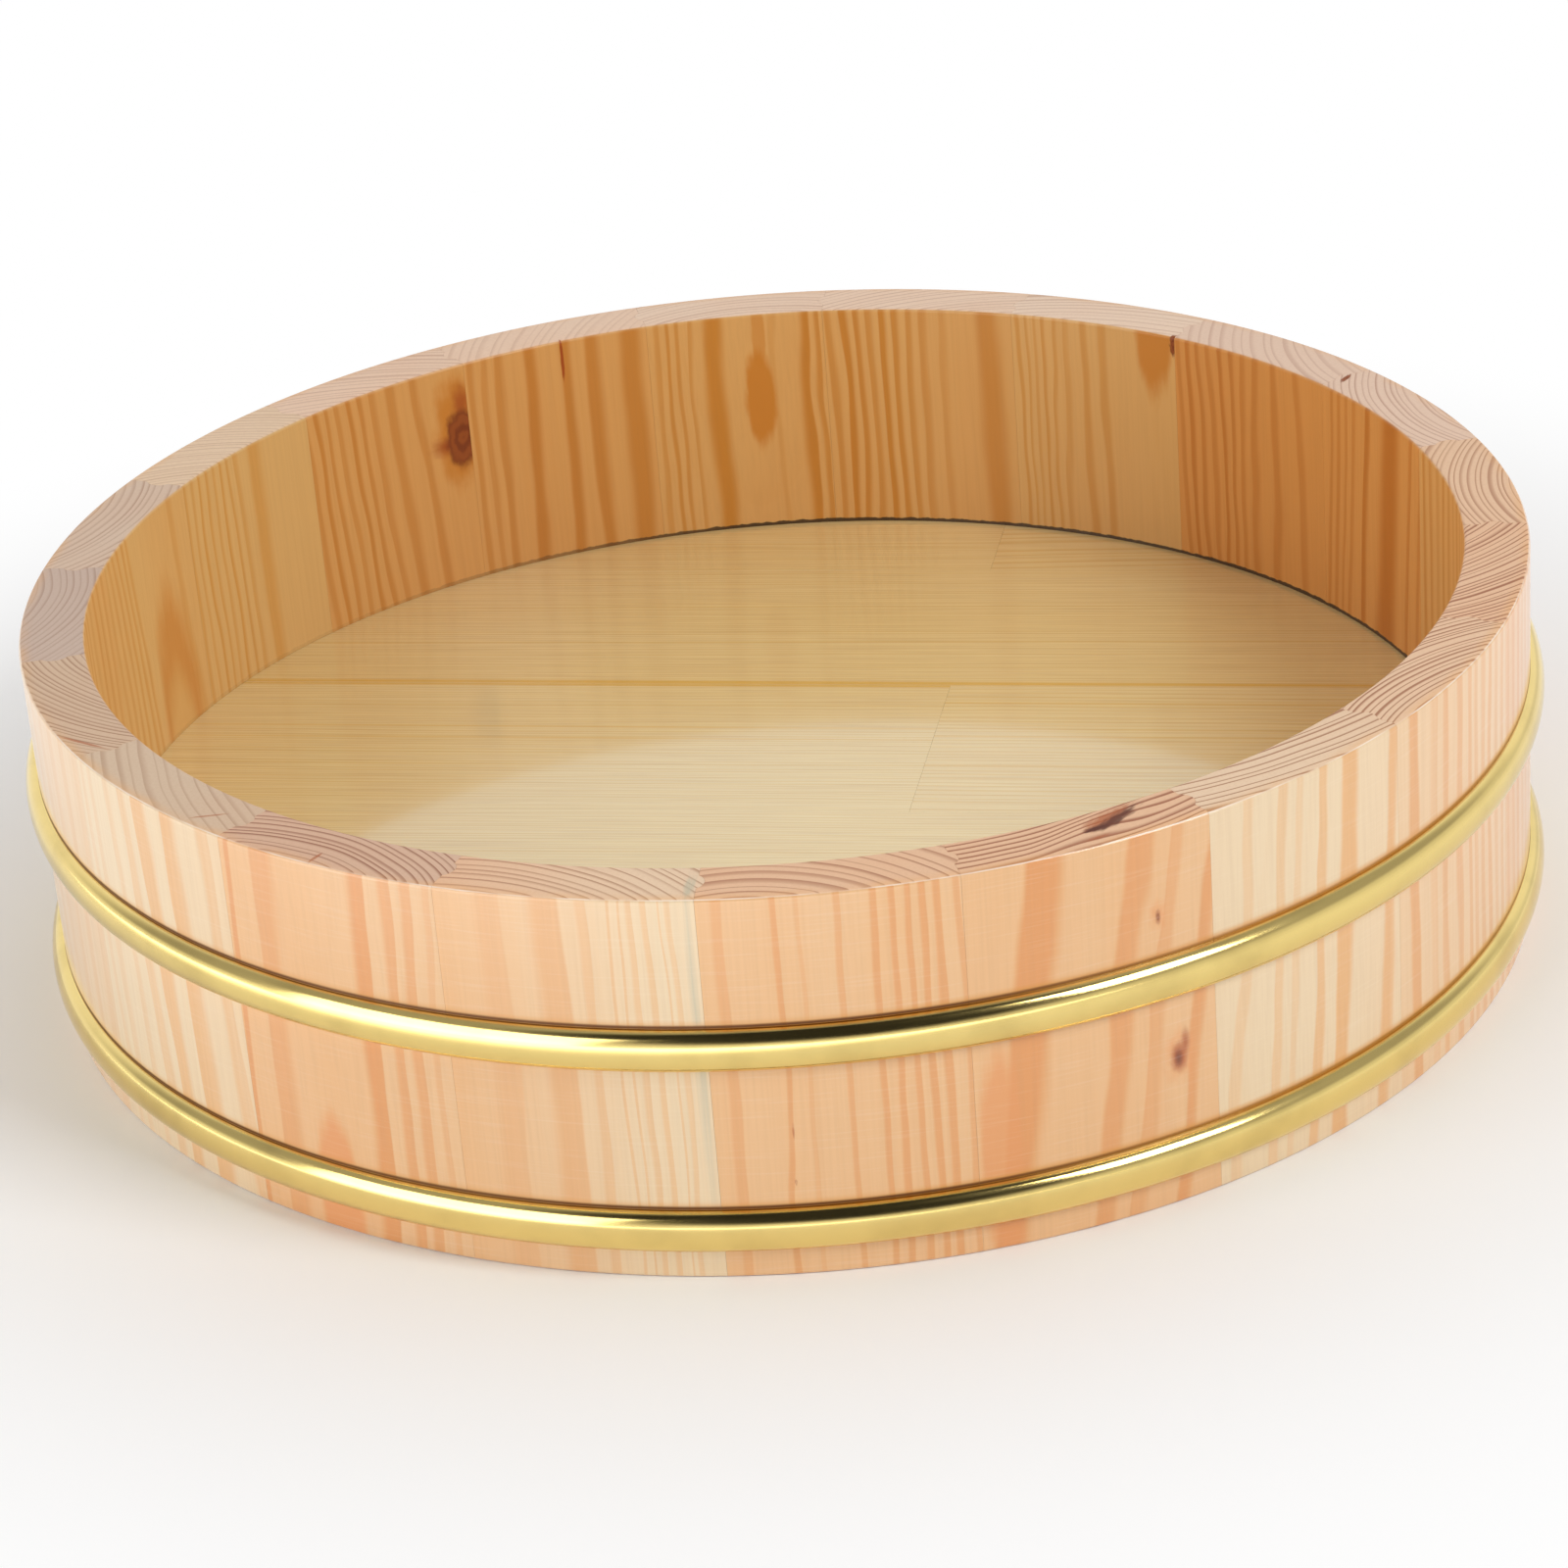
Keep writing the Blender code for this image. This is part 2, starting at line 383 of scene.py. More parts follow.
@dataclass(frozen=True)
class Mark:
    """A knot, a resin pocket, a broad band or a trace of glue: an ellipsoid in the wood.

    Attributes:
        kind: What it is.
        angle: Its place round the tub, in degrees.
        depth: How far it lies inside the outer face, in millimetres.
        height: Its height above the ground, in millimetres.
        reach: Its half sizes across, in depth and in height, in millimetres.
        turn: Its turn in plan, in degrees.
        bend: How far it pushes the growth rings aside, in millimetres.
        soft: Share of its size that its edge takes up.
        strength: How far it covers the wood.
        ragged: How rough its edge is.
    """

    kind: MarkKind
    angle: float
    depth: float
    height: float
    reach: Scale
    turn: float = 0.0
    bend: float = 0.0
    soft: float = 0.4
    strength: float = 1.0
    ragged: float = 0.9


@dataclass(frozen=True)
class PlacedMark:
    """A mark with its place, turn, half sizes and bend in the tub's coordinates."""

    mark: Mark
    origin: Vector
    turn: Matrix
    reach: Scale
    bend: float = 0.0


@dataclass(frozen=True)
class Stripes:
    """Bands of latewood on one face of a stave.

    Attributes:
        bands: Angle, half width and strength of each band, the first two in degrees. A negative half width
            turns the steep edge of a band to its other side.
        tilt: How far the bands move over the height of the wall, in degrees.
        wave: How far they wander, in degrees.
        sharp: How much steeper the counter-clockwise edge of a band is than the other, from -1 to 1.
    """

    bands: tuple[Band, ...]
    tilt: float = 0.0
    wave: float = 1.5
    sharp: float = 0.3


LINE_LEVELS = (0.8, 1.0, 1.2)
INNER_DEPTH = 14.5
INNER_REACH = 4.5


def fine_lines(first: float, last: float, count: int, half: float, strength: float) -> tuple[Band, ...]:
    """Evenly spaced thin bands.

    Args:
        first: Angle of the first band, in degrees.
        last: Angle of the last band, in degrees.
        count: How many there are.
        half: Their half width, in degrees.
        strength: Their middle strength.

    Returns:
        The bands.
    """
    gap = (last - first) / (count - 1)
    levels = (LINE_LEVELS[at % len(LINE_LEVELS)] for at in range(count))
    return tuple((first + gap * at, half, strength * level) for at, level in enumerate(levels))


def inner_band(angle: float, half: float, strength: float, height: float, tall: float) -> Mark:
    """Broad band of latewood in the inner face: angle, half width, strength, height and half length."""
    reach = (half, INNER_REACH, tall)
    return Mark(DEEP_BAND, angle, INNER_DEPTH, height, reach, soft=0.35, strength=strength, ragged=0.4)


@dataclass(frozen=True)
class Log:
    """How a board lay in the log it was sawn from.

    Attributes:
        pith: Place of the pith across the board and in depth from its outer face, in millimetres.
        spacing: Width of a growth ring, in millimetres.
        heart: Share of orange heartwood in the colour.
        heart_slope: How much that share grows towards the board's counter-clockwise edge.
        lean: Lean of the pith across and in depth, in degrees.
        seed: Number that sets the random changes of this board.
        waviness: How far the rings wander, in millimetres.
        end_contrast: How strongly the rings show in the end grain.
        end_tint: What the colours of the end grain are multiplied by.
    """

    pith: Span
    spacing: float
    heart: float
    heart_slope: float = 0.0
    lean: Span = (0.4, 1.0)
    seed: float = 1.0
    waviness: float = 1.6
    end_contrast: float = 0.85
    end_tint: Colour = WHITE


@dataclass(frozen=True)
class Sawn:
    """A board in place: its name, the turn of its wood (across, depth, along), its pith, log and marks."""

    name: str
    turn: Matrix
    pith: Vector
    log: Log
    marks: Sequence[PlacedMark]


@dataclass(frozen=True)
class Sides:
    """Masks of a stave's surface: end grain, long grain, and the inner and the outer part of the wall."""

    end: Socket
    long: Socket
    inner: Socket
    outer: Socket


@dataclass(frozen=True)
class StaveFaces:
    """The two faces of a stave in place, with the floor and the hoops that touch them.

    Angles are in degrees. A stripe fades out over its spread, in half widths, and its edge rises between
    two levels; between stripes a share of the rings shows. A painted shadow lies in the seam over the floor,
    and over each hoop a painted orange glow of light reflected by the brass, with a painted contact shadow
    line in it.
    Between two places along X, each goes from its first level to its second.
    """

    middle: float
    width: float
    height: float
    outer: Optional[Stripes]
    inner: Optional[Stripes]
    hoop_tops: tuple[float, ...]
    floor_top: float
    ring_share: float = 0.06
    spread: float = 1.6
    outer_edge: Span = (0.12, 0.7)
    inner_edge: Span = (0.05, 0.95)
    sway_scale: Scale = (70.0, 70.0, 18.0)
    # Painted shadow in the seam where the floor meets the wall, stronger towards +X.
    seam_shadow_reach: float = 1.0 * MM
    seam_shadow_fade: float = 0.25
    seam_shadow_fine: Scale = (420.0, 420.0, 0.0)
    seam_shadow_broad: Scale = (9.0, 9.0, 0.0)
    seam_shadow_side: Span = (-0.11, 0.0)
    seam_shadow_levels: Span = (0.1, 0.95)
    # Painted glow: an orange band of light reflected by the brass, painted on the wood just above each hoop;
    # its reach also bounds the seam's painted shadow.
    glow_and_seam_reach: float = 2.2 * MM
    reflected_glow_side: Span = (-0.05, 0.08)
    reflected_glow_levels: Span = (0.6, 1.0)
    # Painted contact shadow: a dark line painted on the wood over each hoop, stronger towards -X.
    contact_shadow_low: Span = (-0.2 * MM, 0.2 * MM)
    contact_shadow_high: Span = (0.4 * MM, 1.0 * MM)
    contact_shadow_side: Span = (0.02, 0.10)
    contact_shadow_levels: Span = (0.95, 0.42)

    def drawn(self, graph: Graph, place: Socket, late: Socket, sides: Sides) -> Socket:
        """Draw the stripes over the rings.

        Args:
            graph: The material's graph.
            place: The place's socket.
            late: Strength of latewood in the rings.
            sides: Masks of the stave's surface.

        Returns:
            The strength of latewood with the stripes.
        """
        turned = graph.node("ShaderNodeMapping", place, vector_type="TEXTURE")
        turned.inputs["Rotation"].default_value = (0.0, 0.0, math.radians(self.middle))
        across, depth, height = graph.split(turned.outputs[0])
        angle = graph.math("DEGREES", graph.math("ARCTAN2", across, graph.times(depth, -1.0)))
        sway = graph.centred(graph.noise(place, self.sway_scale))
        rise = graph.math("DIVIDE", graph.math("SUBTRACT", height, self.height / 2.0), self.height)
        faces = ((self.outer, sides.outer, self.outer_edge), (self.inner, sides.inner, self.inner_edge))
        for stripes, face, edge in faces:
            if not stripes:
                continue
            moved = graph.math("MULTIPLY_ADD", rise, -stripes.tilt, angle)
            moved = graph.math("MULTIPLY_ADD", sway, stripes.wave, moved)
            share = graph.math("ADD", graph.math("DIVIDE", moved, self.width), MIDDLE)
            ramp = graph.node("ShaderNodeValToRGB", share)
            self._set_ramp(ramp.color_ramp, stripes)
            peak, strength, _ = graph.node("ShaderNodeSeparateColor", ramp.outputs[0]).outputs
            band = graph.times(graph.step(peak, *edge), strength)
            full = graph.math("MAXIMUM", graph.times(late, self.ring_share), band)
            change = graph.times(face, sides.long, graph.math("SUBTRACT", full, late))
            late = graph.math("ADD", late, change)
        return late

    def _set_ramp(self, ramp: bpy.types.ColorRamp, stripes: Stripes) -> None:
        """Give a colour ramp a peak for each stripe, in red, with the stripe's strength in green.

        Args:
            ramp: The colour ramp, from one edge of the stave to the other.
            stripes: The stripes.
        """
        ramp.interpolation = "EASE"
        for end in ramp.elements:
            end.color = (0.0, 0.0, 0.0, 1.0)
        for angle, half, strength in stripes.bands:
            at = (angle - self.middle) / self.width + MIDDLE
            spread = self.spread * abs(half) / self.width
            steep = math.copysign(1.0, half) * stripes.sharp
            for shift, peak in ((-spread * (1.0 + steep), 0.0), (0.0, 1.0), (spread * (1.0 - steep), 0.0)):
                stop = ramp.elements.new(min(max(at + shift, 0.0), 1.0))
                stop.color = (peak, strength, 0.0, 1.0)

    def seam_shadowed(self, graph: Graph, place: Socket) -> Socket:
        """Mask of the painted shadow in the dark, uneven seam where the floor meets the wall.

        Args:
            graph: The material's graph.
            place: The place's socket.

        Returns:
            The mask's socket.
        """
        # Painted shadow: a dark, ragged line just above the floor, stronger towards +X.
        across, _, height = graph.split(place)
        fine = graph.noise(place, self.seam_shadow_fine)
        broad = graph.noise(place, self.seam_shadow_broad, 1.0)
        tall = graph.times(graph.math("ADD", fine, broad), self.seam_shadow_reach)
        above = graph.math("SUBTRACT", height, self.floor_top)
        near = graph.math("GREATER_THAN", above, -self.glow_and_seam_reach)
        strength = graph.times(graph.step(across, *self.seam_shadow_side, *self.seam_shadow_levels), near)
        full = graph.math("SUBTRACT", tall, self.seam_shadow_reach * self.seam_shadow_fade)
        return graph.step(above, full, tall, strength, 0.0)

    def glow_and_contact_shadow(self, graph: Graph, place: Socket) -> tuple[Any, Any]:
        """Masks of the painted orange glow of light that each hoop reflects onto the wood just above it, and
        of the painted contact shadow line in it.

        Args:
            graph: The material's graph.
            place: The place's socket.

        Returns:
            The sockets of the two masks.
        """
        across, _, height = graph.split(place)
        # Painted light and shade: the glow of reflected brass light and the contact shadow over each hoop.
        dark = graph.step(across, *self.contact_shadow_side, *self.contact_shadow_levels)
        bright = graph.step(across, *self.reflected_glow_side, *self.reflected_glow_levels)
        reflected_glow: Any = 0.0
        contact_shadow: Any = 0.0
        for top in self.hoop_tops:
            above = graph.math("SUBTRACT", height, top)
            near = graph.math("GREATER_THAN", above, -self.glow_and_seam_reach)
            glow = graph.times(graph.step(above, 0.0, self.glow_and_seam_reach, bright, 0.0), near)
            reflected_glow = graph.math("MAXIMUM", glow, reflected_glow)
            line = graph.step(above, *self.contact_shadow_high, dark, 0.0)
            line = graph.times(line, graph.step(above, *self.contact_shadow_low))
            contact_shadow = graph.math("MAXIMUM", line, contact_shadow)
        return reflected_glow, contact_shadow


@dataclass(frozen=True)
class Pine:
    """Lacquered pine. The first of a pair of colours is sapwood, the second heartwood.

    A share is how strongly something shows, and a range the levels of a noise between which it does. The
    slope of the heartwood counts over heart_reach across a board.
    """

    early: Pair
    late: Pair
    contrast: float = 1.0
    heart_reach: float = 25.0 * MM
    tone_share: float = 0.5
    fibre: Colour = (0.45, 0.24, 0.11)
    fibre_range: Span = (0.35, 0.75)
    fibre_share: float = 0.09
    fibre_rough: float = 0.12
    knot_light: Colour = (0.34, 0.10, 0.028)
    roughness: float = 0.42
    coat: float = 0.8
    coat_roughness: float = 0.14
    specular: float = 0.4
    relief_late: float = 0.35
    relief: float = 0.12
    relief_depth: float = 0.12 * MM

    @staticmethod
    def _mapped(graph: Graph, place: Socket, origin: Vector, turn: Matrix, scale: Scale = WHITE) -> Socket:
        """Coordinates of a place in a turned and scaled box round an origin.

        Args:
            graph: The material's graph.
            place: The place's socket.
            origin: Centre of the box.
            turn: Turn of the box.
            scale: Half sizes of the box.

        Returns:
            The socket of the coordinates in the box.
        """
        values = (place, origin, turn.to_euler(), scale)
        return graph.node("ShaderNodeMapping", *values, vector_type="TEXTURE").outputs[0]

    def _spots(self, graph: Graph, place: Socket, marks: Sequence[PlacedMark]) -> tuple[list, Any]:
        """Masks of the marks, and how far they push the rings aside.

        Args:
            graph: The material's graph.
            place: The place's socket.
            marks: The marks in the board.

        Returns:
            Kind, mask and inner rings of each mark, and the bend as a number or a socket.
        """
        spots = []
        bend: Any = 0.0
        group = bpy.data.node_groups[SPOT]
        for placed in marks:
            mark = placed.mark
            here = self._mapped(graph, place, placed.origin, placed.turn, placed.reach)
            spot = graph.node("ShaderNodeGroup", here, mark.ragged, mark.soft, mark.strength, node_tree=group)
            spots.append((mark.kind, spot.outputs["Mask"], spot.outputs["Rings"]))
            if placed.bend:
                bend = graph.math("MULTIPLY_ADD", spot.outputs["Halo"], placed.bend, bend)
        return spots, bend

    def _rings(self, graph: Graph, place: Socket, board: Sawn, bend: Any) -> tuple[Socket, Socket, Socket]:
        """Growth rings of a board.

        Args:
            graph: The material's graph.
            place: The place's socket.
            board: The board.
            bend: How far marks push the rings aside.

        Returns:
            The share of heartwood, the strength of latewood and the fibre.
        """
        log = board.log
        across, deep = (math.radians(angle) for angle in log.lean)
        lean = Matrix.Rotation(across, 3, "Y") @ Matrix.Rotation(deep, 3, "X")
        wood = self._mapped(graph, place, board.pith, board.turn @ lean)
        values = (wood, log.spacing * MM, log.seed, log.waviness * MM, bend)
        rings = graph.node("ShaderNodeGroup", *values, node_tree=bpy.data.node_groups[GROWTH_RINGS])
        late, tone, fibre = rings.outputs
        beside = graph.math("ADD", graph.split(wood)[0], log.pith[0] * MM)
        heart = graph.math("MULTIPLY_ADD", beside, log.heart_slope / self.heart_reach, log.heart)
        heart = graph.math("MULTIPLY_ADD", graph.centred(tone), self.tone_share, heart, clamp=True)
        return heart, late, fibre

    def _marked(self, graph: Graph, colour: Socket, fibre: Socket, spots: list, long: Any) -> Socket:
        """Draw the fibre and the marks over the rings.

        Args:
            graph: The material's graph.
            colour: Colour of the rings.
            fibre: The fibre's socket.
            spots: Kind, mask and inner rings of each mark.
            long: Mask of the long grain, which broad bands keep to.

        Returns:
            The colour's socket.
        """
        colour = graph.mix(graph.step(fibre, *self.fibre_range, 0.0, self.fibre_share), colour, self.fibre)
        for kind, mask, rings in spots:
            tint: Any = kind.value
            if kind in (BAND, DEEP_BAND):
                mask = graph.times(mask, long)
            if kind is KNOT:
                tint = graph.mix(graph.step(rings, -1.0, 1.0), kind.value, self.knot_light)
            colour = graph.mix(mask, colour, tint)
        return colour

    def _surface(
        self, graph: Graph, shader: Node, colour: Socket, rough: Any, late: Socket, fibre: Socket
    ) -> None:
        """Set what every board's shader needs.

        Args:
            graph: The material's graph.
            shader: The Principled BSDF.
            colour: Colour of the board.
            rough: Its roughness.
            late: Strength of latewood.
            fibre: The fibre's socket.
        """
        graph.feed(shader.inputs["Base Color"], colour)
        rough = graph.math("MULTIPLY_ADD", graph.centred(fibre), self.fibre_rough, rough)
        graph.feed(shader.inputs["Roughness"], rough)
        shader.inputs["Coat Roughness"].default_value = self.coat_roughness
        shader.inputs["Specular IOR Level"].default_value = self.specular
        relief = graph.math("MULTIPLY_ADD", late, self.relief_late, fibre)
        graph.raise_surface(shader, relief, self.relief, self.relief_depth)


@dataclass(frozen=True)
class WallPine(Pine):
    """Pine of the staves, with end grain at the rim, traces of use and painted light and shade.

    End grain begins between two upward slopes, and the wall's inner part ends between two radii; the inner
    part is darkened and tinted orange as painted shade. The outside has fine scratches, and over the hoops a
    painted orange glow of light reflected by the brass with a painted contact shadow line. A painted shadow
    lies in the seam over the floor. At the rim, patches of lacquer bled into the end grain, and the edge is
    worn and carries a painted highlight.
    """

    end_early: Pair = ((0.82, 0.60, 0.41), (0.80, 0.48, 0.29))
    end_late: Pair = ((0.44, 0.22, 0.12), (0.38, 0.14, 0.07))
    end_slope: Span = (0.55, 0.9)
    end_roughness: float = 0.72
    inner_radius: Span = (151.6 * MM, 153.0 * MM)
    inner_late: Pair = ((0.72, 0.41, 0.12), (0.58, 0.22, 0.035))
    # Painted shade: the inner wall's colour is darkened and tinted orange for its shade and the light bounced
    # inside the tub.
    inner_shade_tint: Colour = (0.89, 0.71, 0.41)
    inner_bare: float = 0.8
    scratch: Colour = (1.0, 0.90, 0.76)
    scratch_share: float = 0.07
    scratch_scale: Scale = (70.0, 70.0, 2200.0)
    scratch_detail: float = 3.0
    scratch_range: Span = (0.5, 0.75)
    # Painted light and shade over the hoops: orange reflected brass light and a dark contact shadow.
    reflected_glow: Colour = (0.68, 0.28, 0.03)
    contact_shadow: Colour = (0.11, 0.03, 0.003)
    # Painted shadow in the seam over the floor.
    seam_shadow: Colour = (0.05, 0.03, 0.015)
    patch_scale: Scale = (90.0, 90.0, 90.0)
    patch_range: Span = (0.35, 0.6)
    patch_levels: Span = (0.15, 0.7)
    bleed: Colour = (0.82, 0.42, 0.14)
    bleed_share: float = 0.45
    bleed_radius: Span = (161.8 * MM, 164.5 * MM)
    # Worn rim edge, with a painted highlight where the edge is rounded.
    worn_edge_and_highlight: Colour = (0.98, 0.88, 0.76)
    worn_and_highlight_gain: float = 4.0

    def dress(self, board: Sawn, faces: StaveFaces) -> Material:
        """Make the material of one stave.

        Args:
            board: The stave as it was sawn.
            faces: Its two faces.

        Returns:
            The material.
        """
        material, graph, shader = new_material(board.name)
        texture = graph.node("ShaderNodeTexCoord").outputs
        place = texture["Object"]
        sides = self._sides(graph, place, texture["Normal"])
        spots, bend = self._spots(graph, place, board.marks)
        heart, late, fibre = self._rings(graph, place, board, bend)
        late = faces.drawn(graph, place, late, sides)
        colour = self._wood_colour(graph, board.log, heart, late, sides)
        colour = self._marked(graph, colour, fibre, spots, sides.long)
        colour, contact_shadow = self._used(graph, place, colour, faces, sides)
        inner = graph.times(sides.inner, sides.long)
        # Painted shade: the inner wall is darkened and tinted orange.
        colour = graph.mix(inner, colour, self.inner_shade_tint, "MULTIPLY")
        # Painted shadow in the seam over the floor.
        seam_shadow_mask = graph.times(faces.seam_shadowed(graph, place), inner)
        colour = graph.mix(seam_shadow_mask, colour, self.seam_shadow)
        bare = graph.math("MAXIMUM", sides.end, graph.times(inner, self.inner_bare))
        bare = graph.math("MAXIMUM", bare, graph.math("MAXIMUM", contact_shadow, seam_shadow_mask))
        graph.feed(shader.inputs["Coat Weight"], graph.step(bare, 0.0, 1.0, self.coat, 0.0))
        rough = graph.step(sides.end, 0.0, 1.0, self.roughness, self.end_roughness)
        self._surface(graph, shader, colour, rough, late, fibre)
        return material

    def _sides(self, graph: Graph, place: Socket, normal: Socket) -> Sides:
        """Tell the sides of a stave apart.

        Args:
            graph: The material's graph.
            place: The place's socket.
            normal: The normal's socket.

        Returns:
            The masks of the sides.
        """
        end = graph.step(graph.math("ABSOLUTE", graph.split(normal)[2]), *self.end_slope)
        inner = graph.step(graph.radius(place), *self.inner_radius, 1.0, 0.0)
        return Sides(end, graph.rest(end), inner, graph.rest(inner))

    def _wood_colour(self, graph: Graph, log: Log, heart: Socket, late: Socket, sides: Sides) -> Socket:
        """Colour of the rings in the long grain and in the end grain.

        Args:
            graph: The material's graph.
            log: How the board lay in its log.
            heart: Share of heartwood.
            late: Strength of latewood.
            sides: Masks of the stave's surface.

        Returns:
            The colour's socket.
        """
        dark = graph.mix(sides.inner, graph.mix(heart, *self.late), graph.mix(heart, *self.inner_late))
        face = graph.mix(graph.times(late, self.contrast), graph.mix(heart, *self.early), dark)
        end_early, end_late = (graph.mix(heart, *pair) for pair in (self.end_early, self.end_late))
        end_face = graph.mix(graph.times(late, log.end_contrast), end_early, end_late)
        end_face = graph.mix(1.0, end_face, log.end_tint, "MULTIPLY")
        return graph.mix(sides.end, face, end_face)

    def _used(
        self, graph: Graph, place: Socket, colour: Socket, faces: StaveFaces, sides: Sides
    ) -> tuple[Socket, Any]:
        """Draw the scratches, the painted glow and contact shadow over the hoops, and the bleed and the worn
        edge with its painted highlight at the rim.

        Args:
            graph: The material's graph.
            place: The place's socket.
            colour: Colour of the wood.
            faces: The stave's faces.
            sides: Masks of the stave's surface.

        Returns:
            The colour, and the mask of the painted contact shadow line over the hoops.
        """
        streaks = graph.noise(place, self.scratch_scale, self.scratch_detail)
        streaks = graph.step(streaks, *self.scratch_range, 0.0, self.scratch_share)
        colour = graph.mix(graph.times(streaks, sides.outer, sides.long), colour, self.scratch)
        # Painted orange glow of reflected brass light and painted contact shadow over the hoops.
        reflected_glow, contact_shadow = faces.glow_and_contact_shadow(graph, place)
        for mask, tint in ((reflected_glow, self.reflected_glow), (contact_shadow, self.contact_shadow)):
            colour = graph.mix(graph.times(mask, sides.outer), colour, tint)
        patchy = graph.step(graph.noise(place, self.patch_scale), *self.patch_range, *self.patch_levels)
        outermost = graph.step(graph.radius(place), *self.bleed_radius, 0.0, self.bleed_share)
        colour = graph.mix(graph.times(outermost, patchy, sides.end), colour, self.bleed)
        # The outer rim edge is lightened, partly wear and partly a painted highlight.
        edge = graph.times(sides.long, sides.end, self.worn_and_highlight_gain, patchy, sides.outer)
        return graph.mix(edge, colour, self.worn_edge_and_highlight), contact_shadow


@dataclass(frozen=True)
class FloorPine(Pine):
    """Pine of the floor, which shows only long grain."""

    def dress(self, board: Sawn) -> Material:
        """Make the material of one floor board.

        Args:
            board: The board as it was sawn.

        Returns:
            The material.
        """
        material, graph, shader = new_material(board.name)
        place = graph.node("ShaderNodeTexCoord").outputs["Object"]
        spots, bend = self._spots(graph, place, board.marks)
        heart, late, fibre = self._rings(graph, place, board, bend)
        early, dark = (graph.mix(heart, *pair) for pair in (self.early, self.late))
        colour = graph.mix(graph.times(late, self.contrast), early, dark)
        colour = self._marked(graph, colour, fibre, spots, 1.0)
        shader.inputs["Coat Weight"].default_value = self.coat
        self._surface(graph, shader, colour, self.roughness, late, fibre)
        return material


@dataclass(frozen=True)
class Brass:
    """Polished brass with dull patches and faint rubbing marks along the hoop."""

    colour: Colour = (0.86, 0.66, 0.24)
    worn: Colour = (0.74, 0.56, 0.20)
    worn_scale: Scale = (60.0, 60.0, 60.0)
    worn_detail: float = 3.0
    worn_range: Span = (0.4, 0.75)
    roughness: float = 0.15
    rub_scale: Scale = (90.0, 90.0, 2600.0)
    rub_rough: float = 0.08
    relief: float = 0.04
    relief_depth: float = 0.05 * MM

    def dress(self, name: str) -> Material:
        """Make the material.

        Args:
            name: The material's name.

        Returns:
            The material.
        """
        material, graph, shader = new_material(name)
        place = graph.node("ShaderNodeTexCoord").outputs["Object"]
        patches = graph.step(graph.noise(place, self.worn_scale, self.worn_detail), *self.worn_range)
        graph.feed(shader.inputs["Base Color"], graph.mix(patches, self.colour, self.worn))
        rub = graph.noise(place, self.rub_scale)
        rough = graph.math("MULTIPLY_ADD", graph.centred(rub), self.rub_rough, self.roughness)
        graph.feed(shader.inputs["Roughness"], rough)
        shader.inputs["Metallic"].default_value = 1.0
        graph.raise_surface(shader, rub, self.relief, self.relief_depth)
        return material


def finished(name: str, mesh: Mesh) -> Piece:
    """Turn a mesh outwards, shade it and put it in the scene.

    Args:
        name: Name of the piece.
        mesh: Its closed mesh.

    Returns:
        The piece.
    """
    shape = bmesh.new()
    shape.from_mesh(mesh)
    bmesh.ops.recalc_face_normals(shape, faces=shape.faces)
    kept(shape, mesh)
    mesh.shade_smooth()
    mesh.set_sharp_from_angle(angle=SMOOTH_ANGLE)
    piece = bpy.data.objects.new(name, mesh)
    bpy.context.scene.collection.objects.link(piece)
    return piece


def kept(shape: bmesh.types.BMesh, mesh: Mesh) -> Mesh:
    """Write a shape into a mesh and free it.

    Args:
        shape: The shape.
        mesh: The mesh to write to.

    Returns:
        The mesh.
    """
    shape.to_mesh(mesh)
    shape.free()
    return mesh


def join_loops(shape: bmesh.types.BMesh, loops: Sequence[list]) -> None:
    """Fill the space between neighbouring closed loops of vertices.

    Args:
        shape: The shape that the loops are in.
        loops: Loops with the same number of vertices.
    """
    count = len(loops[0])
    for one, two in zip(loops, loops[1:]):
        for at in range(count):
            after = (at + 1) % count
            shape.faces.new((one[at], one[after], two[after], two[at]))


def seat(piece: Piece, slot: str, *nodes: str) -> None:
    """Let a piece stand for CAD nodes of the tub's one body.

    Args:
        piece: The piece.
        slot: The slot of its finish; not used.
        nodes: The nodes that it replaces.
    """
    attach(piece, "root")
    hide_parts(*nodes)
    LOG.info("%s: %d faces", piece.name, len(piece.data.polygons))


def turn_about_z(angle: float) -> Matrix:
    """Turn by an angle in degrees about +Z."""
    return Matrix.Rotation(math.radians(angle), 3, "Z")


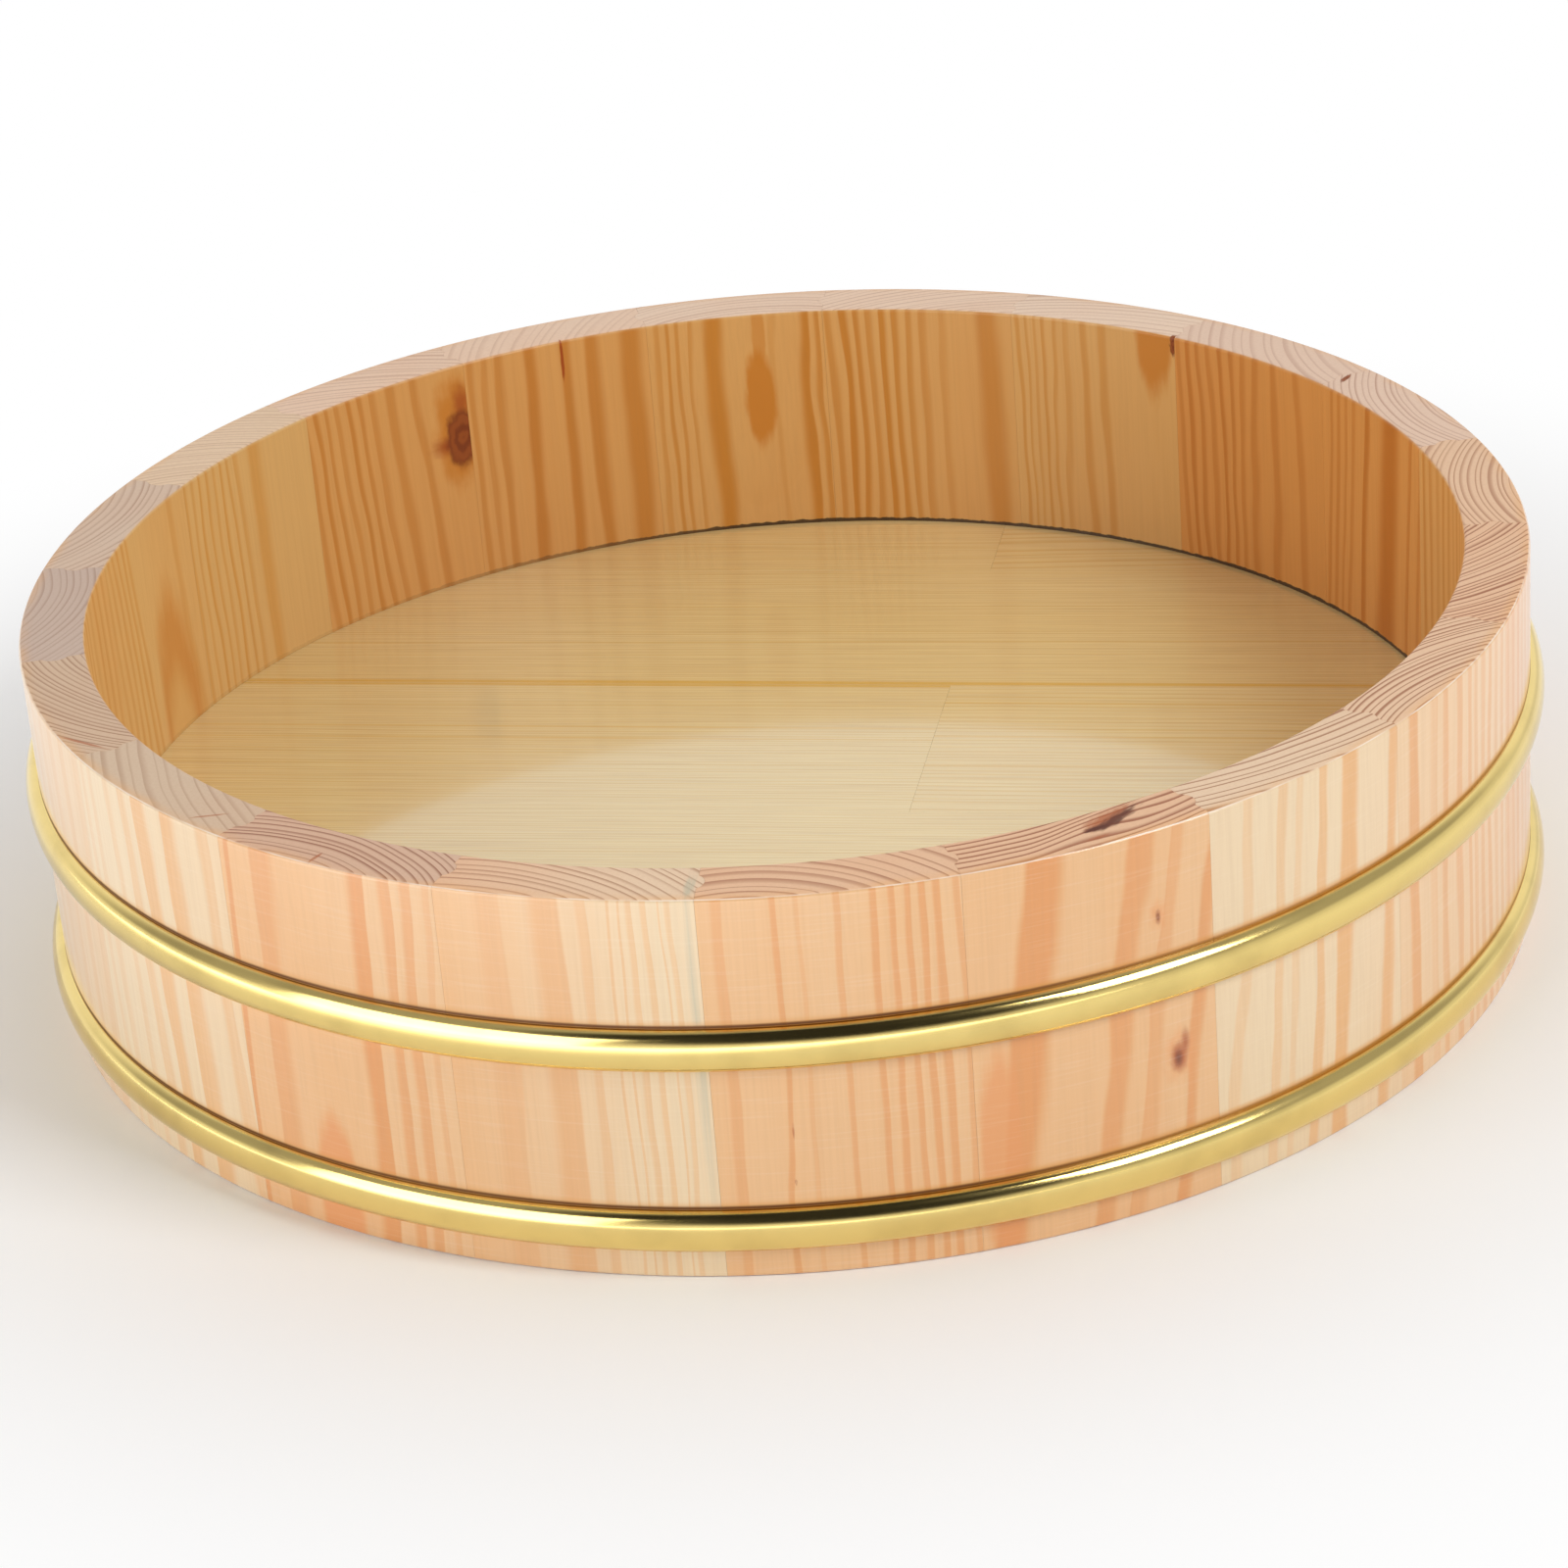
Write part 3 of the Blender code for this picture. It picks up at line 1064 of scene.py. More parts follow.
class RoundBender:
    """Geometry Nodes tree that bends a straight blank round the tub.

    In the blank, X runs from 0 to 1 along the bend, Y is the radius and Z the height. A round tongue is added
    along the bend: it stands out at the end and leaves its groove at the start.
    """

    SIZES = ("Start", "Width", "Tongue Height", "Tongue Half Width", "Tongue Radius")
    WELD = 0.002 * MM

    def __init__(self) -> None:
        """Build the tree with named inputs."""
        self.tree = bpy.data.node_groups.new("bend_round", "GeometryNodeTree")
        self.tree.is_modifier = True
        face = self.tree.interface
        face.new_socket("Geometry", in_out="INPUT", socket_type="NodeSocketGeometry")
        kinds = {**dict.fromkeys(self.SIZES, FLOAT), "Material": "NodeSocketMaterial"}
        self.ids = {
            name: face.new_socket(name, in_out="INPUT", socket_type=kind).identifier
            for name, kind in kinds.items()
        }
        face.new_socket("Geometry", in_out="OUTPUT", socket_type="NodeSocketGeometry")
        self._wire()

    def _wire(self) -> None:
        """Add and join the nodes."""
        graph = Graph(self.tree)
        given = graph.node("NodeGroupInput").outputs
        along, radius, height = graph.split(graph.node("GeometryNodeInputPosition").outputs[0])
        half, tall = given["Tongue Half Width"], given["Tongue Height"]
        squares = graph.math("ADD", graph.times(half, half), graph.times(tall, tall))
        arc = graph.math("DIVIDE", squares, graph.math("MAXIMUM", graph.times(tall, 2.0), TINY))
        off = graph.math("SUBTRACT", radius, given["Tongue Radius"])
        left = graph.math("SUBTRACT", graph.times(arc, arc), graph.times(off, off))
        bulge = graph.math("SQRT", graph.math("MAXIMUM", left, 0.0))
        rise = graph.math("SUBTRACT", bulge, graph.math("SUBTRACT", arc, tall))
        rise = graph.math("MAXIMUM", rise, 0.0)
        angle = graph.math("MULTIPLY_ADD", along, given["Width"], given["Start"])
        angle = graph.math("ADD", angle, graph.math("DIVIDE", rise, radius))
        across = graph.times(radius, graph.math("SINE", angle))
        depth = graph.times(radius, graph.math("COSINE", angle), -1.0)
        bent = graph.node("ShaderNodeCombineXYZ", across, depth, height)
        move = graph.node("GeometryNodeSetPosition", given["Geometry"])
        graph.feed(move.inputs["Position"], bent.outputs[0])
        weld = graph.node("GeometryNodeMergeByDistance", move.outputs[0])
        weld.inputs["Distance"].default_value = self.WELD
        real = graph.node("GeometryNodeRealizeInstances", weld.outputs[0])
        paint = graph.node("GeometryNodeSetMaterial", real.outputs[0])
        graph.feed(paint.inputs["Material"], given["Material"])
        graph.node("NodeGroupOutput", paint.outputs[0])

    def bend(self, name: str, blank: Mesh, material: Material, *sizes: float) -> Piece:
        """Bend a blank and keep the result as a plain mesh.

        Args:
            name: Name of the finished piece.
            blank: The straight blank.
            material: The piece's finish.
            sizes: Start and width of the bend, in radians, and the tongue's height, half width and radius.

        Returns:
            The finished piece.
        """
        holder = bpy.data.objects.new(name, blank)
        bpy.context.scene.collection.objects.link(holder)
        modifier = holder.modifiers.new("Bend", "NODES")
        modifier.node_group = self.tree
        for key, value in zip((*self.SIZES, "Material"), (*sizes, material)):
            modifier[self.ids[key]] = value
        bpy.context.view_layer.update()
        evaluated = holder.evaluated_get(bpy.context.evaluated_depsgraph_get())
        mesh = bpy.data.meshes.new_from_object(evaluated)
        holder.modifiers.remove(modifier)
        bpy.data.objects.remove(holder, do_unlink=True)
        return finished(name, mesh)


@dataclass(frozen=True)
class Stave:
    """One stave: its width round the tub in degrees, its log, its marks and the stripes on its faces."""

    width: float
    log: Log
    marks: tuple[Mark, ...] = ()
    outer: Optional[Stripes] = None
    inner: Optional[Stripes] = None


WALL_PINE = WallPine(
    early=((0.83, 0.64, 0.41), (0.81, 0.45, 0.20)),
    late=((0.80, 0.44, 0.18), (0.74, 0.29, 0.085)),
)

PALE_END = (1.05, 1.13, 1.28)
PINK_END = (1.0, 1.2, 1.5)
# Painted shade: these three tints darken and grey the end grain on the left part of the rim.
SHADED_GREYISH_END = (0.86, 0.88, 0.97)
SHADED_DULL_END = (0.83, 0.84, 0.86)
SHADED_GREY_END = (0.74, 0.78, 0.93)

STAVES = (
    Stave(18.0, Log((-20.0, -25.0), 2.7, 0.8, seed=1.3), (
        Mark(RESIN, -1.6, 0.0, 33.0, (0.35, 1.0, 3.0), strength=0.6),
        Mark(RESIN, -1.7, 0.0, 21.5, (0.5, 1.0, 1.6), strength=0.7),
    ), outer=Stripes((
        (-5.4, 0.4, 0.5), (-1.7, 0.24, 0.7), (0.0, 0.2, 0.35), (2.7, 0.24, 0.6), (5.0, 0.26, 0.7),
        (6.2, 0.26, 0.7), (7.4, 0.26, 0.7), (8.5, 0.28, 0.75), (9.5, 0.3, 0.75), (10.8, 0.22, 0.6),
    ), sharp=0.5)),
    Stave(18.5, Log((-12.0, 120.0), 2.0, 0.85, lean=(0.6, 1.2), seed=2.1, waviness=3.0, end_contrast=1.7), (
        Mark(RESIN, 23.4, 9.6, 84.0, (9.5, 2.9, 10.0), 20.0, 2.5, 0.6, 0.8, 1.2),
        Mark(RESIN, 21.5, 3.2, 84.0, (4.2, 1.1, 10.0), 8.0, soft=0.9, strength=0.55),
        Mark(BARK, 24.0, 8.8, 84.0, (9.0, 1.9, 10.0), 24.0, soft=0.6, strength=0.9, ragged=1.3),
        Mark(BARK, 21.9, 6.9, 84.0, (4.2, 1.2, 10.0), 6.0, soft=0.6, ragged=0.9),
        Mark(BAND, 12.8, 0.0, 20.0, (5.8, 6.0, 30.0), strength=0.8, ragged=0.4),
        Mark(BAND, 25.1, 0.0, 66.0, (2.6, 2.0, 4.6), soft=0.9, strength=0.7),
        Mark(KNOT, 25.1, 0.0, 65.8, (0.8, 2.0, 2.2), soft=0.8, strength=0.85, ragged=0.3),
        Mark(BAND, 26.4, 0.0, 33.0, (5.0, 3.0, 8.5), soft=0.9, strength=0.8),
        Mark(RESIN, 26.35, 0.0, 33.2, (2.6, 3.0, 4.6), soft=0.7, strength=0.95, ragged=0.3),
        Mark(RESIN, 26.9, 0.0, 36.4, (1.5, 3.0, 4.2), soft=0.9, strength=0.85, ragged=0.2),
        Mark(BARK, 26.3, 0.0, 33.0, (1.3, 3.0, 2.8), soft=0.9, strength=0.7, ragged=0.3),
    ), outer=Stripes((
        (14.6, 1.3, 0.9), (21.9, 1.1, 0.75), (24.6, 0.7, 0.5), (28.3, 0.9, 0.85),
    ), 4.0, 2.4, -0.3)),
    Stave(18.5, Log(
        (25.0, 140.0), 2.1, 0.05, 0.2, lean=(0.3, -1.0), seed=3.4, waviness=1.2, end_contrast=1.4,
    ), outer=Stripes((
        (31.6, 0.5, 0.4), (34.8, 0.5, 0.5), (36.5, 0.35, 0.35), (38.9, 0.5, 0.75),
        (41.5, 0.9, 0.95), (46.7, 1.1, 0.9),
    ), 2.2, 2.4, -0.3)),
    Stave(18.5, Log((-20.0, -45.0), 1.5, 0.45, seed=4.2, end_contrast=2.0), outer=Stripes((
        (50.3, 0.65, 0.9), (53.0, 0.6, 0.35), (54.5, 0.5, 0.7), (56.8, 0.5, 0.65), (58.7, 0.4, 0.65),
        *fine_lines(59.9, 65.6, 5, 0.4, 0.6),
    ))),
    Stave(18.5, Log((45.0, 60.0), 1.5, 0.75, seed=5.9, end_contrast=1.8), outer=Stripes(
        fine_lines(67.3, 84.0, 10, 0.5, 0.6),
    )),
    Stave(17.5, Log((-10.0, -50.0), 1.5, 0.6, seed=6.5), inner=Stripes(
        fine_lines(86.0, 101.5, 9, 0.5, 0.6),
    )),
    Stave(17.5, Log((-10.0, -45.0), 1.6, 1.1, seed=7.7, end_contrast=0.6, end_tint=PINK_END), (
        Mark(KNOT, 119.7, 8.0, 84.0, (0.9, 3.0, 6.0), 30.0),
    ), inner=Stripes((
        (103.4, 0.4, 0.5), (105.5, 0.6, 0.6), (109.8, 2.9, 0.9), (114.1, 0.7, 0.8),
        (116.2, 0.5, 0.45), (117.2, 0.4, 0.45), (118.4, 0.4, 0.5), (119.5, 0.35, 0.5),
    ), -2.0, 1.4, 0.0)),
    Stave(18.5, Log((-40.0, -40.0), 2.5, 1.1, seed=8.3, end_contrast=0.35, end_tint=PINK_END), inner=Stripes((
        (123.2, 0.6, 0.45), (126.8, 0.5, 0.5), (129.2, 0.5, 0.5), *fine_lines(130.7, 137.6, 7, 0.42, 0.6),
    ), 1.0, 2.4)),
    Stave(17.0, Log(
        (-18.0, 90.0), 2.2, 0.25, lean=(0.3, 1.6), seed=9.1, end_contrast=0.55, end_tint=PALE_END,
    ), (
        inner_band(140.8, 6.6, 0.95, 90.0, 25.0),
        Mark(KNOT, 138.6, 14.4, 83.0, (1.4, 2.0, 3.5)),
    ), inner=Stripes((
        (146.0, 0.6, 0.6), (148.1, 0.5, 0.6), *fine_lines(150.0, 154.7, 6, 0.36, 0.55),
    ), 1.0, 2.6)),
    Stave(18.0, Log((-30.0, 70.0), 1.9, 0.4, seed=10.6, end_contrast=0.5, end_tint=PALE_END), inner=Stripes((
        (157.9, 2.2, 0.8), (162.4, 0.4, 0.4), (164.2, 0.42, 0.6), *fine_lines(165.5, 173.0, 7, 0.38, 0.9),
    ), 0.3, 1.6, 0.5)),
    Stave(16.5, Log(
        (-4.0, 60.0), 1.9, 0.35, lean=(0.3, 4.5), seed=11.2, end_contrast=0.5, end_tint=PALE_END,
    ), (
        inner_band(179.8, 4.4, 0.95, 63.0, 15.0),
        inner_band(179.6, 2.0, 0.6, 80.0, 11.0),
    ), inner=Stripes((
        (174.0, 0.4, 0.8), (175.0, 0.8, 1.0), (178.0, 0.4, 0.3), (184.0, 1.3, 1.0),
        *fine_lines(186.0, 189.2, 4, 0.4, 0.65),
    ), 0.0, 2.2, 0.0)),
    Stave(18.0, Log((-60.0, 50.0), 2.4, 0.5, seed=12.8, end_contrast=0.25, end_tint=PALE_END), (
        Mark(RESIN, 198.2, 14.3, 80.0, (0.5, 1.5, 7.0)),
    ), inner=Stripes((
        (191.6, 1.7, 0.85), (195.3, 0.8, 0.8), (198.2, 0.7, 0.85), (201.8, 0.7, 0.85), (204.6, 0.5, 0.65),
        *fine_lines(205.9, 207.3, 2, 0.4, 0.6),
    ), 0.0, 2.0)),
    Stave(17.5, Log(
        (40.0, 60.0), 2.1, 0.55, lean=(1.4, 0.6), seed=13.5, end_contrast=0.5, end_tint=PALE_END,
    ), (
        Mark(DEEP_BAND, 209.0, 14.3, 68.0, (8.5, 6.0, 18.0), soft=0.5, strength=0.95, ragged=0.6),
        Mark(RESIN, 208.6, 14.3, 75.0, (3.6, 5.0, 7.0), soft=0.9, strength=0.8, ragged=0.6),
        Mark(RESIN, 210.4, 14.3, 65.0, (6.5, 5.0, 3.6), soft=1.0, strength=0.9, ragged=0.4),
        Mark(KNOT, 208.7, 14.3, 66.0, (6.0, 5.0, 9.0), soft=0.4, ragged=0.5),
    ), inner=Stripes((
        (212.4, 0.5, 0.6), (215.0, 0.6, 0.6), *fine_lines(217.0, 225.0, 7, 0.5, 0.65),
    ), 2.2, 2.0)),
    Stave(17.5, Log((50.0, 40.0), 1.7, -0.2, seed=14.4, end_contrast=0.5), inner=Stripes((
        (232.6, 1.0, 0.6), *fine_lines(235.0, 242.6, 8, 0.45, 0.6),
    ), 0.0, 1.8)),
    Stave(18.0, Log(
        (-6.0, -45.0), 1.8, 0.1, lean=(0.2, -2.4), seed=15.3, end_contrast=0.6, end_tint=SHADED_GREYISH_END,
    ), (
        inner_band(248.2, 11.8, 0.7, 18.0, 56.0),
        Mark(PALE, 248.3, 14.5, 18.0, (8.8, 4.5, 33.0), soft=0.5, strength=0.75, ragged=0.3),
    ), inner=Stripes((
        (244.6, 0.6, 0.4), (253.4, -0.7, 0.6), (254.6, 0.5, 0.65), (256.0, 0.6, 0.65), (257.4, 0.5, 0.55),
        (258.6, 0.4, 0.5), (260.0, 0.4, 0.45),
    ), 2.6, 2.6)),
    Stave(18.0, Log((-15.0, -45.0), 1.6, 0.15, seed=16.7, end_contrast=0.5, end_tint=SHADED_GREY_END), inner=Stripes(
        fine_lines(262.0, 278.0, 9, 0.5, 0.55), 1.0, 2.2,
    )),
    Stave(18.5, Log((-30.0, 70.0), 1.4, 0.3, seed=17.1, end_contrast=0.9, end_tint=SHADED_DULL_END), (
        Mark(RESIN, -64.6, 3.6, 85.0, (7.6, 0.45, 3.0), 28.0, strength=0.7),
    ), outer=Stripes(fine_lines(280.5, 296.8, 7, 0.6, 0.25))),
    Stave(18.5, Log((60.0, 150.0), 2.4, 0.06, 0.15, seed=18.9, end_contrast=0.5, end_tint=SHADED_DULL_END), (
        Mark(RESIN, -46.9, 5.0, 85.0, (4.6, 0.4, 3.0), 50.0, strength=0.6),
    ), outer=Stripes((
        (298.6, 0.4, 0.3), (300.1, 0.4, 0.3), (302.6, 0.4, 0.35), (304.6, 0.6, 0.5), (306.7, 0.9, 0.8),
        (310.2, 1.2, 0.85), (315.2, -0.8, 0.4),
    ), -1.5, 2.0, -0.7)),
    Stave(18.5, Log(
        (-8.0, -40.0), 1.7, 0.8, -0.1, lean=(0.3, -2.0), seed=19.6,
        waviness=2.2, end_contrast=1.2, end_tint=SHADED_GREYISH_END,
    ), (
        Mark(BAND, -36.4, 0.0, 3.0, (6.6, 6.0, 28.0), soft=0.3, strength=0.9, ragged=0.3),
        Mark(RESIN, -35.5, 2.6, 85.0, (0.5, 2.6, 3.0), strength=0.7, ragged=0.6),
    ), outer=Stripes((
        (316.4, 0.9, 0.8), (319.0, -1.0, 0.6), (328.5, 0.8, 0.95), (330.8, 0.5, 0.75), (332.3, 0.5, 0.7),
        (333.8, 0.3, 0.4), (334.5, 0.2, 0.35),
    ), 0.6, 1.6, 0.7)),
    Stave(18.5, Log((-22.0, -45.0), 2.0, 0.35, -0.55, seed=20.2), (
        Mark(GLUE, -7.5, 5.0, 60.0, (1.6, 9.0, 75.0), soft=0.8, strength=0.75),
    ), outer=Stripes((
        (339.2, 1.0, 0.3), (343.3, 1.1, 0.6), (345.4, 0.4, 0.45), (347.1, 0.3, 0.5), (347.8, 0.35, 0.5),
        (348.8, 0.4, 0.5), (349.7, 0.35, 0.55), (350.6, 0.3, 0.5), (351.3, 0.3, 0.45),
    ), sharp=0.6)),
)


@dataclass
class Wall:
    """The ring of staves, from the first joint's angle, in degrees.

    Sizes are those of the solids, apart from the joints and the croze, which are closed up here.
    """

    height: float
    hoop_tops: tuple[float, ...]
    floor_top: float
    rim_radius: float = 165.0 * MM
    base_radius: float = 164.0 * MM
    rim_inner_radius: float = 150.7 * MM
    base_inner_radius: float = 149.9 * MM
    edge_round: float = 0.9 * MM
    edge_steps: int = 5
    croze_radius: float = 154.6 * MM
    croze_bottom: float = 14.95 * MM
    croze_top: float = 29.05 * MM
    tongue_height: float = 1.4 * MM
    tongue_width: float = 5.6 * MM
    tongue_steps: int = 10
    first_joint: float = -7.0
    joint_gap: float = 0.04 * MM
    arc_steps: int = 24
    staves: Sequence[Stave] = STAVES
    finish: WallPine = WALL_PINE

    def outer(self, z: float) -> float:
        """Outer radius at a height."""
        return self.base_radius + (self.rim_radius - self.base_radius) * z / self.height

    def inner(self, z: float) -> float:
        """Inner radius at a height."""
        return self.base_inner_radius + (self.rim_inner_radius - self.base_inner_radius) * z / self.height

    @property
    def tongue_radius(self) -> float:
        """Radius at the middle of the tongue."""
        return (self.rim_radius + self.base_inner_radius) / 2.0

    def levels(self) -> list[tuple[float, float]]:
        """Heights of the section, from the base up.

        Returns:
            Each height with the inset of the rounded edges there.
        """
        turns = [math.pi / 2.0 * step / self.edge_steps for step in range(self.edge_steps + 1)]
        low = [(self.edge_round * (1.0 - math.cos(a)), self.edge_round * (1.0 - math.sin(a))) for a in turns]
        high = [(self.height - z, inset) for z, inset in reversed(low)]
        return low + [(self.croze_bottom, 0.0), (self.croze_top, 0.0)] + high

    def blank(self) -> Mesh:
        """Straight blank of a stave: its section, with the croze, drawn along X from 0 to 1.

        Returns:
            The blank's mesh, with X along the bend, Y the radius and Z the height.
        """
        levels = self.levels()
        half = self.tongue_width / 2.0
        shares = (2.0 * step / self.tongue_steps - 1.0 for step in range(self.tongue_steps + 1))
        columns = [self.croze_radius, *(self.tongue_radius + half * share for share in shares)]
        grid = [[self.inner(z) + inset, *columns, self.outer(z) - inset] for z, inset in levels]
        cells = set()
        for row in range(len(levels) - 1):
            in_croze = abs(levels[row][0] - self.croze_bottom) < TINY
            cells.update((row, column) for column in range(int(in_croze), len(grid[0]) - 1))
        shape = bmesh.new()
        corners: dict[tuple[int, int, int], bmesh.types.BMVert] = {}

        def corner(row: int, column: int, step: int) -> bmesh.types.BMVert:
            """Find or make a vertex of the blank.

            Args:
                row: Its row in the section.
                column: Its column in the section.
                step: Its step along the blank.

            Returns:
                The vertex.
            """
            key = (row, column, step)
            if key not in corners:
                corners[key] = shape.verts.new((step / self.arc_steps, grid[row][column], levels[row][0]))
            return corners[key]

        for row, column in sorted(cells):
            ring = [(row, column), (row, column + 1), (row + 1, column + 1), (row + 1, column)]
            for step in (0, self.arc_steps):
                shape.faces.new([corner(*at, step) for at in ring])
            beyond = [(row - 1, column), (row, column + 1), (row + 1, column), (row, column - 1)]
            for side, neighbour in enumerate(beyond):
                if neighbour in cells:
                    continue
                first, second = ring[side], ring[(side + 1) % len(ring)]
                for step in range(self.arc_steps):
                    shape.faces.new([
                        corner(*first, step), corner(*second, step),
                        corner(*second, step + 1), corner(*first, step + 1),
                    ])
        return kept(shape, bpy.data.meshes.new("stave_blank"))

    def place(self, angle: float, depth: float, across: float, height: float) -> Vector:
        """Find a point in the tub.

        Args:
            angle: Angle round the tub, in degrees.
            depth: Depth inside the outer face, in millimetres.
            across: Distance to the counter-clockwise side, in millimetres.
            height: Height, in millimetres.

        Returns:
            The point.
        """
        return turn_about_z(angle) @ Vector((across * MM, depth * MM - self.rim_radius, height * MM))

    def material(self, name: str, middle: float, stave: Stave) -> Material:
        """Finish of one stave.

        Args:
            name: The material's name.
            middle: Angle of the stave's middle, in degrees.
            stave: The stave.

        Returns:
            The material.
        """
        across, depth = stave.log.pith
        pith = self.place(middle, depth, across, self.height / 2.0 / MM)
        marks = []
        for mark in stave.marks:
            origin = self.place(mark.angle, mark.depth, 0.0, mark.height)
            turn = turn_about_z(mark.angle + mark.turn)
            reach = tuple(half * MM for half in mark.reach)
            marks.append(PlacedMark(mark, origin, turn, reach, mark.bend * MM))
        board = Sawn(name, turn_about_z(middle), pith, stave.log, marks)
        stripes = (stave.outer, stave.inner)
        return self.finish.dress(
            board, StaveFaces(middle, stave.width, self.height, *stripes, self.hoop_tops, self.floor_top)
        )

    def build(self, bender: RoundBender) -> None:
        """Make every stave.

        Args:
            bender: The tree that bends the blanks.
        """
        blank = self.blank()
        slack = math.degrees(self.joint_gap / self.rim_radius)
        tongue = (self.tongue_height, self.tongue_width / 2.0, self.tongue_radius)
        start = self.first_joint
        for index, stave in enumerate(self.staves, 1):
            node = f"stave_{index:02d}"
            finish = self.material(f"{node}_lacquered_pine", start + stave.width / 2.0, stave)
            bend = (math.radians(start + slack / 2.0), math.radians(stave.width - slack))
            seat(bender.bend(f"{node}_pine", blank, finish, *bend, *tongue), "wall_pine", node)
            start += stave.width


@dataclass(frozen=True)
class Board:
    """One floor board: its node, its sides across the floor, its ends along it, its log and its ochre bands.

    A band has a place across the floor and a half width, in millimetres, and a strength.
    """

    node: str
    sides: Span
    ends: Span
    log: Log
    bands: tuple[Band, ...] = ()


FLOOR_PINE = FloorPine(
    early=((0.86, 0.70, 0.36), (0.81, 0.60, 0.25)),
    late=((0.76, 0.53, 0.17), (0.67, 0.38, 0.08)),
    contrast=0.7,
    tone_share=0.6,
    fibre_share=0.2,
    roughness=0.22,
    coat=1.0,
    coat_roughness=0.08,
)


@dataclass
class Floor:
    """The boards across the floor, glued edge to edge.

    Joints are placed across the floor, from the back, and along it. The turn of the grain is in degrees.
    """

    top: float
    bottom: float
    radius: float = 154.3 * MM
    edge_bevel: float = 1.5 * MM
    turn: float = -11.5
    row_joints: tuple[float, ...] = (119.8 * MM, 53.5 * MM, -12.8 * MM, -79.1 * MM)
    end_joint_1: float = 29.5 * MM
    end_joint_3: float = 29.0 * MM
    joint_gap: float = 0.04 * MM
    side_steps: int = 48
    weld: float = 0.001 * MM
    finish: FloorPine = FLOOR_PINE

    def boards(self) -> list[Board]:
        """The boards.

        Returns:
            The boards from the back row to the front one.
        """
        far = self.radius
        first, second, third, fourth = self.row_joints
        rows = ((first, far), (second, first), (third, second), (fourth, third), (-far, fourth))
        whole = (-far, far)
        left_1, right_1 = (-far, self.end_joint_1), (self.end_joint_1, far)
        left_3, right_3 = (-far, self.end_joint_3), (self.end_joint_3, far)
        return [
            Board("floor_board_1_left", rows[0], left_1, Log((150.0, -60.0), 1.1, 0.55, seed=1.7)),
            Board("floor_board_1_right", rows[0], right_1, Log((60.0, -120.0), 1.4, 0.6, seed=2.9)),
            Board("floor_board_2", rows[1], whole, Log((180.0, -60.0), 1.15, 0.5, seed=3.3), (
                (54.5, 1.3, 0.9),
            )),
            Board("floor_board_3_left", rows[2], left_3, Log((-190.0, -50.0), 1.2, 0.3, seed=4.1), (
                (52.9, 1.0, 0.8), (30.0, 0.6, 0.5), (24.0, 0.5, 0.5),
            )),
            Board("floor_board_3_right", rows[2], right_3, Log((-120.0, -70.0), 1.7, 0.35, seed=5.8), (
                (44.0, 0.8, 0.4), (26.0, 0.7, 0.3), (11.0, 0.9, 0.4),
            )),
            Board("floor_board_4", rows[3], whole, Log((210.0, -40.0), 1.2, 0.3, seed=6.6)),
            Board("floor_board_5", rows[4], whole, Log((-160.0, -70.0), 1.3, 0.4, seed=7.2)),
        ]

    def outline(self, board: Board, radius: float) -> list[Span]:
        """Outline of a board in a disc, in coordinates along and across the floor.

        Args:
            board: The board.
            radius: Radius of the disc.

        Returns:
            Points up the board's right side and down its left side.
        """
        slack = self.joint_gap / 2.0
        low, high = board.sides
        low = -radius if low <= -self.radius else low + slack
        high = radius if high >= self.radius else high - slack
        left, right = board.ends
        if left > 0.0:
            high = min(high, math.sqrt(radius ** 2 - left ** 2))
        left, right = left + slack, right - slack
        first, last = math.asin(low / radius), math.asin(high / radius)
        turns = [first + (last - first) * step / self.side_steps for step in range(self.side_steps + 1)]
        ups = [(min(right, radius * math.cos(a)), radius * math.sin(a)) for a in turns]
        downs = [(max(left, -radius * math.cos(a)), radius * math.sin(a)) for a in reversed(turns)]
        return ups + downs

    def mesh(self, board: Board) -> Mesh:
        """Board with a bevelled round edge.

        Args:
            board: The board.

        Returns:
            Its closed mesh.
        """
        turn = turn_about_z(self.turn)
        small = self.radius - self.edge_bevel
        levels = (
            (self.bottom, small), (self.bottom + self.edge_bevel, self.radius),
            (self.top - self.edge_bevel, self.radius), (self.top, small),
        )
        shape = bmesh.new()
        loops = []
        for height, radius in levels:
            outline = self.outline(board, radius)
            loops.append([shape.verts.new(turn @ Vector((u, v, height))) for u, v in outline])
        join_loops(shape, loops)
        shape.faces.new(loops[-1])
        shape.faces.new(loops[0][::-1])
        bmesh.ops.remove_doubles(shape, verts=shape.verts, dist=self.weld)
        bmesh.ops.dissolve_degenerate(shape, edges=shape.edges, dist=self.weld)
        return kept(shape, bpy.data.meshes.new(board.node))

    def band(self, along: Matrix, across: float, half: float, strength: float) -> PlacedMark:
        """Ochre band along the grain.

        Args:
            along: Turn of the floor.
            across: Distance across the floor from the middle, in millimetres.
            half: Half width, in millimetres.
            strength: How far it covers the wood.

        Returns:
            The mark in place.
        """
        reach = (2.0 * self.radius, half * MM, self.top - self.bottom)
        origin = along @ Vector((0.0, across * MM, self.top))
        mark = Mark(OCHRE, 0.0, 0.0, 0.0, reach, soft=0.7, strength=strength, ragged=0.6)
        return PlacedMark(mark, origin, along, reach)

    def build(self) -> None:
        """Make every board."""
        along = turn_about_z(self.turn)
        basis = Matrix((along.col[1], along.col[2], along.col[0])).transposed()
        for board in self.boards():
            across, depth = board.log.pith
            middle = sum(board.sides) / 2.0
            pith = basis @ Vector((middle + across * MM, self.top + depth * MM, 0.0))
            marks = [self.band(along, *band) for band in board.bands]
            sawn = Sawn(f"{board.node}_lacquered_pine", basis, pith, board.log, marks)
            mesh = self.mesh(board)
            mesh.materials.append(self.finish.dress(sawn))
            seat(finished(f"{board.node}_pine", mesh), "floor_pine", board.node)


